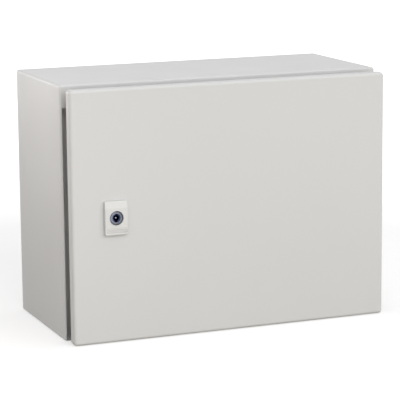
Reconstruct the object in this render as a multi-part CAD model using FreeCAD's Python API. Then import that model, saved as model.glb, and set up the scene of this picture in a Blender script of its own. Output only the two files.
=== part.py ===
import FreeCAD, Part
import math
import os

# Steel wall enclosure: a folded body with a back panel, a sealing frame with gutters round the
# opening, a door on two concealed hinges, a quarter-turn lock and the usual inner fittings.
# Millimetres. X runs to the right seen from the front, Y into the wall and Z up.
# The origin is the centre of the back face, in the plane of the wall.

# Body
body_width = 400.0
body_height = 300.0
body_depth = 170.0            # wall to the front edge of the body
body_sheet = 1.2
body_corner_radius = 3.0      # the four long bends
inner_bend_min = 0.4          # tightest inner bend of the sheet
front_bend_radius = 2.2
drip_flange = 25.0            # height of the flange that the top panel turns down
side_hem = 8.0                # depth of the doubled front edge of the side panels

# Back panel and its wall holes
back_sheet = 1.2
back_edge_round = 0.8
back_flange = 12.0
weld_clearance = 0.15
wall_hole_radius = 4.25
wall_hole_margin = 30.0       # hole centre to the outside of the body

# Sealing frame: gutters on three sides and a rim all round
frame_margin = 25.0           # outside of the body to the outside of the rim
gutter_depth = 18.0
rim_hem = 6.0
rim_corner_radius = 4.0
rim_edge_radius = 0.9

# Door
door_gap = 17.5               # front edge of the body to the back edge of the door
door_return = 12.5            # depth of the door's folded edge
door_sheet = 1.5
door_side_inset = 2.0         # the door is this much narrower than the body on each side
door_top_inset = 3.0
door_bottom_inset = 0.5
door_corner_radius = 4.0
door_edge_radius = 3.5

# Foam seal on the door
foam_width = 12.0
foam_thickness = 8.2
foam_round = 2.5
foam_clearance = 0.3          # to the rim, with the door closed
foam_inner_corner = 3.0

# Mounting plate and its studs
plate_clearance = 12.5        # outside of the rim to the edge of the plate
plate_thickness = 2.0
plate_corner_radius = 8.0
plate_standoff = 15.0         # inside of the back panel to the plate
plate_hole_margin = 12.0      # hole centre to the edge of the plate

# Gland plate on the inside of the bottom
gland_side_margin = 80.0      # outside of the body to the opening
gland_back_margin = 45.0      # wall to the opening
gland_front_margin = 25.8     # back of the gutter to the opening
gland_overlap = 13.0          # plate past the opening, on every side
gland_plate_thickness = 2.0
gland_gasket_thickness = 3.0
gland_corner_radius = 4.0

# Fasteners
m8_radius = 4.0
m8_flats = 13.0
m8_nut_height = 6.5
m8_washer_radius = 8.0
m8_washer_thickness = 1.6
m6_radius = 3.0
m6_flats = 10.0
m6_nut_height = 5.0
m6_washer_radius = 6.0
m6_washer_thickness = 1.2
m5_radius = 2.5
m5_flats = 8.0
m5_nut_height = 4.0
m5_washer_radius = 7.5
m5_washer_thickness = 1.2
m5_head_radius = 4.4
m5_head_height = 3.0
m5_socket_flats = 3.0
m5_socket_depth = 1.8
thread_clearance = 0.04
hole_clearance = 0.4
nut_corner_trim = 0.2
nut_chamfer = 0.6
tip_chamfer = 0.6
stud_foot = 1.0               # height of the weld foot of a stud
stud_foot_extra = 1.5         # foot radius past the stud radius
stud_spare = 4.5              # thread past the nut

# Earth studs
body_earth_set_back = 60.0    # wall to the stud on the left side panel
body_earth_height = 50.0      # above the bottom
door_earth_inset = 48.0       # right side of the door to the stud
door_earth_height = 46.0      # bottom of the door to the stud

# Hinges
hinge_end_margin = 65.0       # top or bottom of the body to the middle of a hinge
hinge_side_clearance = 0.6    # body's hem to the knuckle
pin_radius = 2.5
pin_running_clearance = 0.06
pin_seat_clearance = 0.02
pin_head_radius = 4.0
pin_head = 2.0
pin_spare = 1.5               # pin past the lower lug
knuckle_radius = 4.5
knuckle_length = 19.0
knuckle_arm = 3.0
knuckle_gap = 0.4             # between knuckle and lug, along the pin
lug_thickness = 4.0
leaf_end = 17.1               # lug to the end of a leaf
leaf_screw_margin = 8.0       # end of a leaf to its screw
frame_leaf_thickness = 3.0
frame_leaf_width = 16.0
door_leaf_thickness = 2.5
door_leaf_width = 12.5
leaf_edge_clearance = 1.0     # leaf to the rim, and to the foam
hinge_screw_length = 12.0
notch_depth = 6.0             # cut in the door's return, clear of the lugs
notch_clearance = 4.0         # past each lug, along the pin

# Lock
lock_inset = 52.0             # door's left side to the lock axis
lock_drop = 0.5               # the lock is this much below the middle of the door
lock_fit_clearance = 0.15
escutcheon_width = 27.3
escutcheon_height = 39.4
escutcheon_thickness = 4.5
escutcheon_corner = 1.6
escutcheon_edge_radius = 0.6
escutcheon_bevel_height = 8.3
escutcheon_bevel_drop = 2.0
grip_top = 11.6               # lock axis down to the top of the ribbed recess
grip_height = 5.9
grip_left_margin = 1.9
grip_right_margin = 0.9
grip_depth = 1.8              # at the recess's lower end; its floor slants from the front
lock_ring_radius = 9.3        # low ring of the escutcheon round the lock face
lock_ring_height = 0.25
grip_ribs = 3
grip_rib_width = 0.7
grip_rib_height = 0.4         # ribs in front of the recess's floor
lock_seal_thickness = 0.8
lock_seal_inset = 0.8
housing_face_radius = 8.3
housing_face_recess = 0.4
housing_flat_radius = 6.4     # flat middle of the lock face, inside its bevel
housing_bevel_drop = 0.9
housing_lip = 1.2
housing_well_radius = 4.9
housing_flange_radius = 11.5
housing_flange = 2.0
barrel_radius = 10.5
barrel_flats = 19.6
barrel_spare = 5.5            # thread past the lock nut
lock_nut_flats = 26.0
lock_nut_height = 5.0
insert_radius = 6.5
insert_running_clearance = 0.08
insert_end_play = 0.3
insert_collar_radius = 8.6
insert_collar = 2.0
insert_shank_radius = 6.0
insert_shank = 8.5            # collar to the cam
shank_square = 8.0
keyhole_radius = 3.6
keyhole_depth = 10.0
bit_slot_reach = 4.9          # lock axis to the end of a key slot
bit_slot_width = 2.6
key_pin_radius = 1.5
key_pin_recess = 0.8
cam_thickness = 3.0
cam_width = 16.0
cam_tip_clearance = 1.8       # cam to the keeper's leg
cam_screw_length = 9.0
keeper_sheet = 2.0
keeper_height = 40.0
keeper_depth = 20.0
keeper_ledge = 10.5
keeper_bend_radius = 1.6
cam_clearance = 0.5           # cam to the keeper's ledge

axis_x = FreeCAD.Vector(1, 0, 0)
axis_y = FreeCAD.Vector(0, 1, 0)
axis_z = FreeCAD.Vector(0, 0, 1)
forward = FreeCAD.Vector(0, -1, 0)
overcut = 5.0                 # how far a cutting tool runs past what it cuts
tolerance = 1e-4

m8 = {"radius": m8_radius, "flats": m8_flats, "nut": m8_nut_height,
      "washer_radius": m8_washer_radius, "washer": m8_washer_thickness}
m6 = {"radius": m6_radius, "flats": m6_flats, "nut": m6_nut_height,
      "washer_radius": m6_washer_radius, "washer": m6_washer_thickness}
m5 = {"radius": m5_radius, "flats": m5_flats, "nut": m5_nut_height,
      "washer_radius": m5_washer_radius, "washer": m5_washer_thickness}

# Planes and edges that several pieces share
half_width = body_width / 2
half_height = body_height / 2
y_back_inside = -back_sheet
y_body_front = -body_depth
y_gutter_floor = y_body_front + gutter_depth
y_gutter_back = y_gutter_floor + body_sheet
z_drip_edge = half_height - drip_flange
rim_right = half_width - frame_margin
rim_bottom = -half_height + frame_margin
y_door_back = y_body_front - door_gap
y_door_front = y_door_back - door_return
y_door_inside = y_door_front + door_sheet
door_right = half_width - door_side_inset
door_top = half_height - door_top_inset
door_bottom = -half_height + door_bottom_inset
z_door_middle = (door_top + door_bottom) / 2
y_foam_back = y_door_inside + foam_thickness
y_rim_front = y_foam_back + foam_clearance
foam_right = rim_right - body_sheet + foam_width / 2
y_plate_back = y_back_inside - plate_standoff
y_plate_front = y_plate_back - plate_thickness
z_floor = -half_height + body_sheet
plate_right = rim_right - plate_clearance
plate_top = z_drip_edge - plate_clearance
plate_bottom = rim_bottom + plate_clearance
gland_right = half_width - gland_side_margin
gland_back = -gland_back_margin
gland_front = y_gutter_back + gland_front_margin
x_pivot = half_width - 2 * body_sheet - hinge_side_clearance - knuckle_radius
y_pivot = y_door_back + knuckle_radius
knuckle_half = knuckle_length / 2
lug_inside = knuckle_half + knuckle_gap
lug_outside = lug_inside + lug_thickness
leaf_half = lug_outside + leaf_end
x_frame_leaf = rim_right + leaf_edge_clearance + frame_leaf_width / 2
x_door_leaf = foam_right + leaf_edge_clearance + door_leaf_width / 2
y_frame_leaf = y_gutter_floor - frame_leaf_thickness
y_door_leaf = y_door_inside + door_leaf_thickness
x_lock = -door_right + lock_inset
z_lock = z_door_middle - lock_drop
y_seal_front = y_door_front - lock_seal_thickness
y_escutcheon_front = y_seal_front - escutcheon_thickness
y_housing_front = y_escutcheon_front + housing_face_recess
y_housing_flange = y_seal_front - housing_flange
y_barrel_end = y_door_inside + lock_nut_height + barrel_spare
y_insert_front = y_housing_front + housing_lip + insert_end_play
y_collar = y_barrel_end + insert_end_play
y_shank = y_collar + insert_collar
y_cam = y_shank + insert_shank
y_cam_back = y_cam + cam_thickness
x_keeper = -rim_right + body_sheet
cam_reach = x_lock - x_keeper - keeper_sheet - cam_tip_clearance
y_ledge_back = y_cam - cam_clearance
y_ledge_front = y_ledge_back - keeper_sheet


def block(x_span, y_span, z_span):
    """A box between two places on each axis."""
    size = [span[1] - span[0] for span in (x_span, y_span, z_span)]
    return Part.makeBox(*size, FreeCAD.Vector(x_span[0], y_span[0], z_span[0]))


def rod(radius, length, start, axis):
    """A round bar from a point along an axis."""
    return Part.makeCylinder(radius, length, FreeCAD.Vector(*start), axis)


def edges_along(shape, axis):
    """The straight edges that run along an axis."""
    picked = []
    for edge in shape.Edges:
        if isinstance(edge.Curve, Part.Line) and abs(edge.Curve.Direction.dot(axis)) > 1 - tolerance:
            picked.append(edge)
    return picked


def edges_at_depth(shape, depth):
    """The edges that lie in one plane parallel to the wall."""
    return [edge for edge in shape.Edges
            if abs(edge.BoundBox.YMin - depth) < tolerance
            and abs(edge.BoundBox.YMax - depth) < tolerance]


def edges_at_height(shape, height):
    """The edges that lie in one level plane."""
    return [edge for edge in shape.Edges
            if abs(edge.BoundBox.ZMin - height) < tolerance
            and abs(edge.BoundBox.ZMax - height) < tolerance]


def sheet(x_span, z_span, radius, y_span):
    """A flat plate parallel to the wall, with rounded corners."""
    slab = block(x_span, y_span, z_span)
    return slab.makeFillet(radius, edges_along(slab, axis_y))


def grown(span, margin):
    """A span made longer by the same margin at both ends."""
    return (span[0] - margin, span[1] + margin)


def circle_edges(shape):
    """The full circles of a turned shape."""
    return [edge for edge in shape.Edges
            if isinstance(edge.Curve, Part.Circle) and edge.isClosed()]


def end_circles(shape, start, axis, length):
    """The full circles at the far end of a bar."""
    base = FreeCAD.Vector(*start)
    return [edge for edge in circle_edges(shape)
            if (edge.Curve.Center - base).dot(axis) > length - tolerance]


def across_corners(flats):
    """Radius of the corners of a hexagon from its width across flats."""
    return flats / 2 / math.cos(math.pi / 6)


def hexagon_bar(flats, length, start, axis):
    """A six-sided bar from a point along an axis."""
    side = axis_x if abs(axis.dot(axis_x)) < tolerance else axis_y
    other = axis.cross(side)
    corner = across_corners(flats)
    base = FreeCAD.Vector(*start)
    points = []
    for corner_number in range(7):
        turn = math.pi / 3 * corner_number
        points.append(base + side * (corner * math.cos(turn)) + other * (corner * math.sin(turn)))
    return Part.Face(Part.makePolygon(points)).extrude(axis * length)


def hexagon_nut(flats, height, bore_radius, start, axis):
    """A hexagon nut that starts at a point and stands along an axis, with its corners turned."""
    bar = hexagon_bar(flats, height, start, axis)
    turned = rod(across_corners(flats) - nut_corner_trim, height, start, axis)
    turned = turned.makeChamfer(nut_chamfer, circle_edges(turned))
    return bar.common(turned).cut(rod(bore_radius, height, start, axis))


def nut(thread, start, axis):
    """A standard nut of one thread size."""
    bore = thread["radius"] + thread_clearance
    return hexagon_nut(thread["flats"], thread["nut"], bore, start, axis)


def washer(thread, start, axis):
    """A flat washer that starts at a point."""
    disc = rod(thread["washer_radius"], thread["washer"], start, axis)
    return disc.cut(rod(thread["radius"] + hole_clearance, thread["washer"], start, axis))


def bare_stud(thread, length, start, axis):
    """A round bar with a chamfered tip."""
    shank = rod(thread["radius"], length, start, axis)
    return shank.makeChamfer(tip_chamfer, end_circles(shank, start, axis, length))


def footed_stud(thread, length, start, axis):
    """A weld stud with a low round foot."""
    foot = rod(thread["radius"] + stud_foot_extra, stud_foot, start, axis)
    return bare_stud(thread, length, start, axis).fuse(foot)


def socket_screw(length, seat, axis):
    """A low-head M5 screw whose head stands on a seat and whose shank runs along an axis."""
    seat_point = FreeCAD.Vector(*seat)
    top = seat_point - axis * m5_head_height
    head = rod(m5_head_radius, m5_head_height, top, axis)
    rim = [edge for edge in circle_edges(head) if (edge.Curve.Center - top).Length < tolerance]
    head = head.makeFillet(tip_chamfer, rim)
    socket = hexagon_bar(m5_socket_flats, m5_socket_depth, top, axis)
    return head.cut(socket).fuse(bare_stud(m5, length, seat, axis))


def group(shapes):
    """Several separate solids that share one node."""
    return Part.makeCompound(shapes)


def corner_places(x_reach, z_low, z_high):
    """The four corners of a rectangle that is centred from left to right."""
    return [(x, z) for x in (-x_reach, x_reach) for z in (z_low, z_high)]


def body_outline(inset, y_span):
    """The body's outline drawn in by an inset, as a solid between two depths."""
    radius = max(body_corner_radius - inset, inner_bend_min)
    x_reach = half_width - inset
    z_reach = half_height - inset
    return sheet((-x_reach, x_reach), (-z_reach, z_reach), radius, y_span)


def gland_outline(margin, z_span):
    """The gland opening's outline drawn out by a margin, as a solid between two heights."""
    slab = block(grown((-gland_right, gland_right), margin),
                 grown((gland_front, gland_back), margin), z_span)
    return slab.makeFillet(gland_corner_radius, edges_along(slab, axis_z))


def make_body_wrap():
    """Top, side and bottom panels in one sheet, with the drip flange and hemmed side edges."""
    outside = body_outline(0, (y_body_front, y_back_inside))
    outside = outside.makeFillet(front_bend_radius, edges_at_depth(outside, y_body_front))
    inside = body_outline(body_sheet, (y_body_front - overcut, y_back_inside + overcut))
    hem_inset = half_width - 2 * body_sheet
    y_hem = (y_body_front - overcut, y_body_front + side_hem)
    hems = [block((-half_width, -hem_inset), y_hem, (-half_height, z_drip_edge)),
            block((hem_inset, half_width), y_hem, (-half_height, z_drip_edge))]
    flange = block((-half_width, half_width), (y_body_front - overcut, y_body_front + body_sheet),
                   (z_drip_edge, half_height))
    wrap = outside.cut(inside.cut(hems + [flange]))
    return wrap.cut(gland_outline(0, grown((-half_height, z_floor), overcut)))


def wall_hole_places():
    """Centres of the four wall holes."""
    z_reach = half_height - wall_hole_margin
    return corner_places(half_width - wall_hole_margin, -z_reach, z_reach)


def make_back_panel():
    """The back sheet with a flange that stands inside the body, and four wall holes."""
    panel = body_outline(0, (y_back_inside, 0))
    panel = panel.makeFillet(back_edge_round, edges_at_depth(panel, 0))
    inset = body_sheet + weld_clearance
    y_flange = (y_back_inside - back_flange, y_back_inside)
    flange = body_outline(inset, y_flange).cut(body_outline(inset + back_sheet, grown(y_flange, overcut)))
    panel = panel.fuse(flange)
    holes = [rod(wall_hole_radius, 2 * overcut, (x, -overcut, z), axis_y)
             for x, z in wall_hole_places()]
    return panel.cut(holes)


def hinge_heights():
    """Middles of the lower and the upper hinge."""
    reach = half_height - hinge_end_margin
    return {"lower": -reach, "upper": reach}


def leaf_screw_heights(height):
    """Heights of the two fasteners of one leaf."""
    reach = leaf_half - leaf_screw_margin
    return [height - reach, height + reach]


def frame_screw_places():
    """Centres of the four screws that hold the frame leaves."""
    return [(x_frame_leaf, z) for height in hinge_heights().values()
            for z in leaf_screw_heights(height)]


def door_stud_places():
    """Centres of the four studs that carry the door leaves."""
    return [(x_door_leaf, z) for height in hinge_heights().values()
            for z in leaf_screw_heights(height)]


def frame_outline(inset, y_span):
    """The rim's outline drawn in by an inset, as a solid between two depths."""
    radius = max(rim_corner_radius - inset, inner_bend_min)
    x_reach = rim_right - inset
    return sheet((-x_reach, x_reach), (rim_bottom + inset, z_drip_edge - inset), radius, y_span)


def make_sealing_frame():
    """Gutters on the left, bottom and right, and a hemmed rim round the whole opening."""
    y_wall = y_body_front + side_hem + weld_clearance
    gutter = body_outline(body_sheet, (y_wall, y_gutter_back))
    gutter = gutter.cut(body_outline(2 * body_sheet, (y_wall - overcut, y_gutter_floor)))
    above = block((-half_width, half_width), grown((y_wall, y_gutter_back), overcut),
                  (z_drip_edge, half_height))
    gutter = gutter.cut(above)
    x_roof = half_width - 2 * body_sheet
    roof = block((-x_roof, x_roof), (y_body_front, y_gutter_back),
                 (z_drip_edge - body_sheet, z_drip_edge))
    y_rim = (y_rim_front, y_gutter_back)
    rim = frame_outline(0, y_rim)
    hem = frame_outline(body_sheet, (y_rim_front, y_rim_front + rim_hem))
    hem = hem.cut(frame_outline(2 * body_sheet, grown(y_rim, overcut)))
    shell = gutter.fuse([roof, rim]).cut(frame_outline(body_sheet, grown(y_rim, overcut)))
    frame = shell.fuse(hem).removeSplitter()
    frame = frame.makeFillet(rim_edge_radius, edges_at_depth(frame, y_rim_front))
    holes = [rod(m5_radius + hole_clearance, 2 * overcut, (x, y_gutter_floor - overcut, z), axis_y)
             for x, z in frame_screw_places()]
    return frame.cut(holes)


def plate_stud_places():
    """Centres of the mounting plate's studs."""
    return corner_places(plate_right - plate_hole_margin, plate_bottom + plate_hole_margin,
                         plate_top - plate_hole_margin)


def make_mounting_plate():
    """The plate that equipment is fixed to, with its four holes."""
    plate = sheet((-plate_right, plate_right), (plate_bottom, plate_top), plate_corner_radius,
                  (y_plate_front, y_plate_back))
    holes = [rod(m8_radius + hole_clearance, 2 * overcut, (x, y_plate_front - overcut, z), axis_y)
             for x, z in plate_stud_places()]
    return plate.cut(holes)


def mounting_fasteners():
    """Studs, rear nuts, washers and front nuts of the mounting plate."""
    places = plate_stud_places()
    y_nut = y_plate_front - m8_washer_thickness
    length = plate_standoff + plate_thickness + m8_washer_thickness + m8_nut_height + stud_spare
    return {
        "mounting_studs": group([footed_stud(m8, length, (x, y_back_inside, z), forward)
                                 for x, z in places]),
        "mounting_rear_nuts": group([nut(m8, (x, y_plate_back, z), axis_y) for x, z in places]),
        "mounting_washers": group([washer(m8, (x, y_plate_front, z), forward) for x, z in places]),
        "mounting_front_nuts": group([nut(m8, (x, y_nut, z), forward) for x, z in places]),
    }


def gland_stud_places():
    """Centres of the six gland plate studs, seen from above."""
    x_reach = gland_right + gland_overlap / 2
    rows = grown((gland_front, gland_back), gland_overlap / 2)
    return [(x, y) for x in (-x_reach, 0, x_reach) for y in rows]


def gland_set():
    """Gland plate, its gasket, and the studs and nuts that clamp it."""
    places = gland_stud_places()
    z_plate = z_floor + gland_gasket_thickness
    z_nut = z_plate + gland_plate_thickness
    length = gland_gasket_thickness + gland_plate_thickness + m6_nut_height + stud_spare
    holes = [rod(m6_radius + hole_clearance, length, (x, y, z_floor), axis_z) for x, y in places]
    window = gland_outline(0, grown((z_floor, z_plate), overcut))
    return {
        "gland_gasket": gland_outline(gland_overlap, (z_floor, z_plate)).cut(holes + [window]),
        "gland_plate": gland_outline(gland_overlap, (z_plate, z_nut)).cut(holes),
        "gland_studs": group([bare_stud(m6, length, (x, y, z_floor), axis_z) for x, y in places]),
        "gland_nuts": group([nut(m6, (x, y, z_nut), axis_z) for x, y in places]),
    }


def earth_fasteners(prefix, foot, axis):
    """An earth stud with a washer and a nut, on a panel."""
    base = FreeCAD.Vector(*foot)
    washer_seat = base + axis * stud_foot
    nut_seat = washer_seat + axis * m6_washer_thickness
    length = stud_foot + m6_washer_thickness + m6_nut_height + 2 * stud_spare
    return {
        prefix + "_stud": footed_stud(m6, length, base, axis),
        prefix + "_washer": washer(m6, washer_seat, axis),
        prefix + "_nut": nut(m6, nut_seat, axis),
    }


def make_frame_leaf(height):
    """A hinge leaf that is screwed into the gutter, with two lugs that hold the pin."""
    x_left = x_frame_leaf - frame_leaf_width / 2
    x_right = x_frame_leaf + frame_leaf_width / 2
    leaf = block((x_left, x_right), (y_frame_leaf, y_gutter_floor),
                 (height - leaf_half, height + leaf_half))
    outline = [(x_left, y_gutter_floor), (x_right, y_gutter_floor),
               (x_pivot + knuckle_radius, y_pivot), (x_pivot - knuckle_radius, y_pivot)]
    solids = []
    for z_low in (height - lug_outside, height + lug_inside):
        points = [FreeCAD.Vector(x, y, z_low) for x, y in outline + outline[:1]]
        web = Part.Face(Part.makePolygon(points)).extrude(axis_z * lug_thickness)
        solids += [web, rod(knuckle_radius, lug_thickness, (x_pivot, y_pivot, z_low), axis_z)]
    leaf = leaf.fuse(solids)
    bore = rod(pin_radius + pin_seat_clearance, 2 * lug_outside,
               (x_pivot, y_pivot, height - lug_outside), axis_z)
    holes = [rod(m5_radius + hole_clearance, 2 * overcut, (x_frame_leaf, y_frame_leaf - overcut, z), axis_y)
             for z in leaf_screw_heights(height)]
    return leaf.cut([bore] + holes).removeSplitter()


def make_door_leaf(height):
    """A hinge leaf on the inside of the door, with one arm and the knuckle that turns on the pin."""
    leaf = block((x_door_leaf - door_leaf_width / 2, x_door_leaf + door_leaf_width / 2),
                 (y_door_inside, y_door_leaf), (height - leaf_half, height + leaf_half))
    x_arm = x_pivot - knuckle_radius
    z_knuckle = (height - knuckle_half, height + knuckle_half)
    arm = block((x_arm, x_arm + knuckle_arm), (y_door_inside, y_pivot), z_knuckle)
    knuckle = rod(knuckle_radius, knuckle_length, (x_pivot, y_pivot, z_knuckle[0]), axis_z)
    leaf = leaf.fuse([arm, knuckle])
    bore = rod(pin_radius + pin_running_clearance, knuckle_length,
               (x_pivot, y_pivot, z_knuckle[0]), axis_z)
    holes = [rod(m5_radius + hole_clearance, 2 * overcut, (x_door_leaf, y_door_leaf - overcut, z), axis_y)
             for z in leaf_screw_heights(height)]
    return leaf.cut([bore] + holes).removeSplitter()


def make_hinge_pin(height):
    """A headed pin that hangs in the two lugs."""
    top = height + lug_outside
    length = 2 * lug_outside + pin_spare
    shank = rod(pin_radius, length, (x_pivot, y_pivot, top - length), axis_z)
    shank = shank.makeChamfer(tip_chamfer, edges_at_height(shank, top - length))
    head = rod(pin_head_radius, pin_head, (x_pivot, y_pivot, top), axis_z)
    return shank.fuse(head.makeChamfer(tip_chamfer, edges_at_height(head, top + pin_head)))


def hinge_set():
    """All the pieces of the two hinges."""
    nodes = {}
    for name, height in hinge_heights().items():
        nodes[name + "_frame_leaf"] = make_frame_leaf(height)
        nodes[name + "_door_leaf"] = make_door_leaf(height)
        nodes[name + "_hinge_pin"] = make_hinge_pin(height)
    stud_length = door_leaf_thickness + m5_nut_height + stud_spare
    nodes["hinge_screws"] = group([socket_screw(hinge_screw_length, (x, y_frame_leaf, z), axis_y)
                                   for x, z in frame_screw_places()])
    nodes["hinge_screw_nuts"] = group([nut(m5, (x, y_gutter_back, z), axis_y)
                                       for x, z in frame_screw_places()])
    nodes["door_leaf_studs"] = group([bare_stud(m5, stud_length, (x, y_door_inside, z), axis_y)
                                      for x, z in door_stud_places()])
    nodes["door_leaf_nuts"] = group([nut(m5, (x, y_door_leaf, z), axis_y)
                                     for x, z in door_stud_places()])
    return nodes


def lock_rod(radius, y_span):
    """A round bar on the lock's axis."""
    return rod(radius, y_span[1] - y_span[0], (x_lock, y_span[0], z_lock), axis_y)


def lock_barrel(clearance, y_span):
    """The threaded barrel's section with its two flats, drawn out by a clearance."""
    reach = barrel_flats / 2 + clearance
    flats = block((x_lock - reach, x_lock + reach), y_span, grown((z_lock, z_lock), 2 * barrel_radius))
    return lock_rod(barrel_radius + clearance, y_span).common(flats)


def make_door_panel():
    """The door: a tray folded from one sheet, with a hole for the lock and two hinge notches."""
    outside = sheet((-door_right, door_right), (door_bottom, door_top), door_corner_radius,
                    (y_door_front, y_door_back))
    outside = outside.makeFillet(door_edge_radius, edges_at_depth(outside, y_door_front))
    x_inside = door_right - door_sheet
    inside = sheet((-x_inside, x_inside), (door_bottom + door_sheet, door_top - door_sheet),
                   door_corner_radius - door_sheet, (y_door_inside, y_door_back + overcut))
    inside = inside.makeFillet(door_edge_radius - door_sheet, edges_at_depth(inside, y_door_inside))
    tools = [inside, lock_barrel(lock_fit_clearance, grown((y_door_front, y_door_inside), overcut))]
    notch_reach = lug_outside + notch_clearance
    for height in hinge_heights().values():
        tools.append(block((x_inside - door_sheet, door_right + overcut),
                           (y_door_back - notch_depth, y_door_back + overcut),
                           (height - notch_reach, height + notch_reach)))
    return outside.cut(tools)


def make_door_seal():
    """The foam bead on the inside of the door, one closed ring."""
    z_low = rim_bottom + body_sheet - foam_width / 2
    z_high = z_drip_edge - body_sheet + foam_width / 2
    outer_radius = foam_inner_corner + foam_width
    ring = sheet((-foam_right, foam_right), (z_low, z_high), outer_radius,
                 (y_door_inside, y_foam_back))
    x_inner = foam_right - foam_width
    hole = sheet((-x_inner, x_inner), (z_low + foam_width, z_high - foam_width), foam_inner_corner,
                 grown((y_door_inside, y_foam_back), overcut))
    ring = ring.cut(hole)
    return ring.makeFillet(foam_round, edges_at_depth(ring, y_foam_back))


def make_lock_seal():
    """The flat seal between the escutcheon and the door."""
    x_reach = escutcheon_width / 2 - lock_seal_inset
    z_reach = escutcheon_height / 2 - lock_seal_inset
    pad = sheet((x_lock - x_reach, x_lock + x_reach), (z_lock - z_reach, z_lock + z_reach),
                escutcheon_corner, (y_seal_front, y_door_front))
    return pad.cut(lock_barrel(lock_fit_clearance, grown((y_seal_front, y_door_front), overcut)))


def make_escutcheon():
    """The plate round the lock: a slanted top, a flat middle and a ribbed recess for a finger."""
    z_low = z_lock - escutcheon_height / 2
    z_high = z_lock + escutcheon_height / 2
    x_left = x_lock - escutcheon_width / 2
    outline = [(y_seal_front, z_low), (y_escutcheon_front, z_low),
               (y_escutcheon_front, z_high - escutcheon_bevel_height),
               (y_escutcheon_front + escutcheon_bevel_drop, z_high), (y_seal_front, z_high)]
    points = [FreeCAD.Vector(x_left, y, z) for y, z in outline + outline[:1]]
    plate = Part.Face(Part.makePolygon(points)).extrude(axis_x * escutcheon_width)
    plate = plate.makeFillet(escutcheon_corner, edges_along(plate, axis_y))
    front_edges = [edge for edge in plate.Edges if edge.BoundBox.YMax < y_seal_front - tolerance]
    plate = plate.makeFillet(escutcheon_edge_radius, front_edges)
    plate = plate.fuse(lock_rod(lock_ring_radius,
                                (y_escutcheon_front - lock_ring_height, y_seal_front))).removeSplitter()
    z_grip = z_lock - grip_top
    x_grip = (x_left + grip_left_margin, x_left + escutcheon_width - grip_right_margin)
    slant = [(y_escutcheon_front - overcut, z_grip), (y_escutcheon_front, z_grip),
             (y_escutcheon_front + grip_depth, z_grip - grip_height),
             (y_escutcheon_front - overcut, z_grip - grip_height)]
    points = [FreeCAD.Vector(x_grip[0], y, z) for y, z in slant + slant[:1]]
    grip = Part.Face(Part.makePolygon(points)).extrude(axis_x * (x_grip[1] - x_grip[0]))
    ribs = []
    for rib_number in range(1, grip_ribs + 1):
        share = rib_number / (grip_ribs + 1)
        z_rib = z_grip - grip_height * share
        y_rib = y_escutcheon_front + grip_depth * share - grip_rib_height
        ribs.append(block(x_grip, (y_rib, y_escutcheon_front + grip_depth),
                          (z_rib - grip_rib_width / 2, z_rib + grip_rib_width / 2)))
    face_hole = lock_rod(housing_face_radius + lock_fit_clearance,
                         grown((y_escutcheon_front, y_seal_front), overcut))
    pocket = lock_rod(housing_flange_radius + lock_fit_clearance,
                      (y_housing_flange, y_seal_front + overcut))
    return plate.cut([grip.cut(ribs), face_hole, pocket])


def make_housing():
    """The lock housing: a bevelled face with a round well, a flange and a barrel with two flats."""
    bevel = Part.makeCone(housing_flat_radius, housing_face_radius, housing_bevel_drop,
                          FreeCAD.Vector(x_lock, y_housing_front, z_lock), axis_y)
    face = lock_rod(housing_face_radius, (y_housing_front + housing_bevel_drop, y_seal_front))
    housing = face.fuse([bevel, lock_rod(housing_flange_radius, (y_housing_flange, y_seal_front)),
                         lock_barrel(0, (y_seal_front, y_barrel_end))])
    bore = lock_rod(insert_radius + insert_running_clearance,
                    (y_housing_front + housing_lip, y_barrel_end + overcut))
    well = lock_rod(housing_well_radius, (y_housing_front - overcut, y_insert_front))
    return housing.cut([bore, well])


def make_insert():
    """The part that the key turns: two key slots, a centre pin, a collar and a square end."""
    insert = lock_rod(insert_radius, (y_insert_front, y_shank))
    square = block(grown((x_lock, x_lock), shank_square / 2), (y_cam, y_cam_back),
                   grown((z_lock, z_lock), shank_square / 2))
    insert = insert.fuse([lock_rod(insert_collar_radius, (y_collar, y_shank)),
                          lock_rod(insert_shank_radius, (y_shank, y_cam)), square])
    y_keyhole = (y_insert_front - overcut, y_insert_front + keyhole_depth)
    keyhole = lock_rod(keyhole_radius, y_keyhole)
    slots = block(grown((x_lock, x_lock), bit_slot_width / 2), y_keyhole,
                  grown((z_lock, z_lock), bit_slot_reach))
    key_pin = lock_rod(key_pin_radius, (y_insert_front + key_pin_recess, y_keyhole[1] + overcut))
    screw_bore = lock_rod(m5_radius + thread_clearance, (y_cam_back - cam_screw_length, y_cam_back))
    return insert.cut([keyhole.fuse(slots).cut(key_pin), screw_bore])


def make_cam():
    """The bar that the insert swings behind the keeper. At rest it points down."""
    reach = cam_width / 2
    x_span = (x_lock - reach, x_lock + reach)
    bar = block(x_span, (y_cam, y_cam_back), (z_lock - cam_reach, z_lock))
    tip = [edge for edge in edges_along(bar, axis_y) if edge.BoundBox.ZMax < z_lock - reach]
    bar = bar.makeFillet(reach / 2, tip).fuse(lock_rod(reach, (y_cam, y_cam_back)))
    hole = block(grown((x_lock, x_lock), shank_square / 2 + lock_fit_clearance),
                 grown((y_cam, y_cam_back), overcut),
                 grown((z_lock, z_lock), shank_square / 2 + lock_fit_clearance))
    return bar.cut(hole).removeSplitter()


def make_keeper():
    """The bracket on the rim whose ledge the cam swings behind."""
    z_span = grown((z_lock, z_lock), keeper_height / 2)
    leg = block((x_keeper, x_keeper + keeper_sheet), (y_ledge_front, y_ledge_front + keeper_depth), z_span)
    ledge = block((x_keeper, x_keeper + keeper_ledge), (y_ledge_front, y_ledge_back), z_span)
    bracket = leg.fuse(ledge).removeSplitter()
    bend = [edge for edge in edges_along(bracket, axis_z)
            if edge.BoundBox.XMax < x_keeper + tolerance and edge.BoundBox.YMax < y_ledge_front + tolerance]
    return bracket.makeFillet(keeper_bend_radius, bend)


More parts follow.
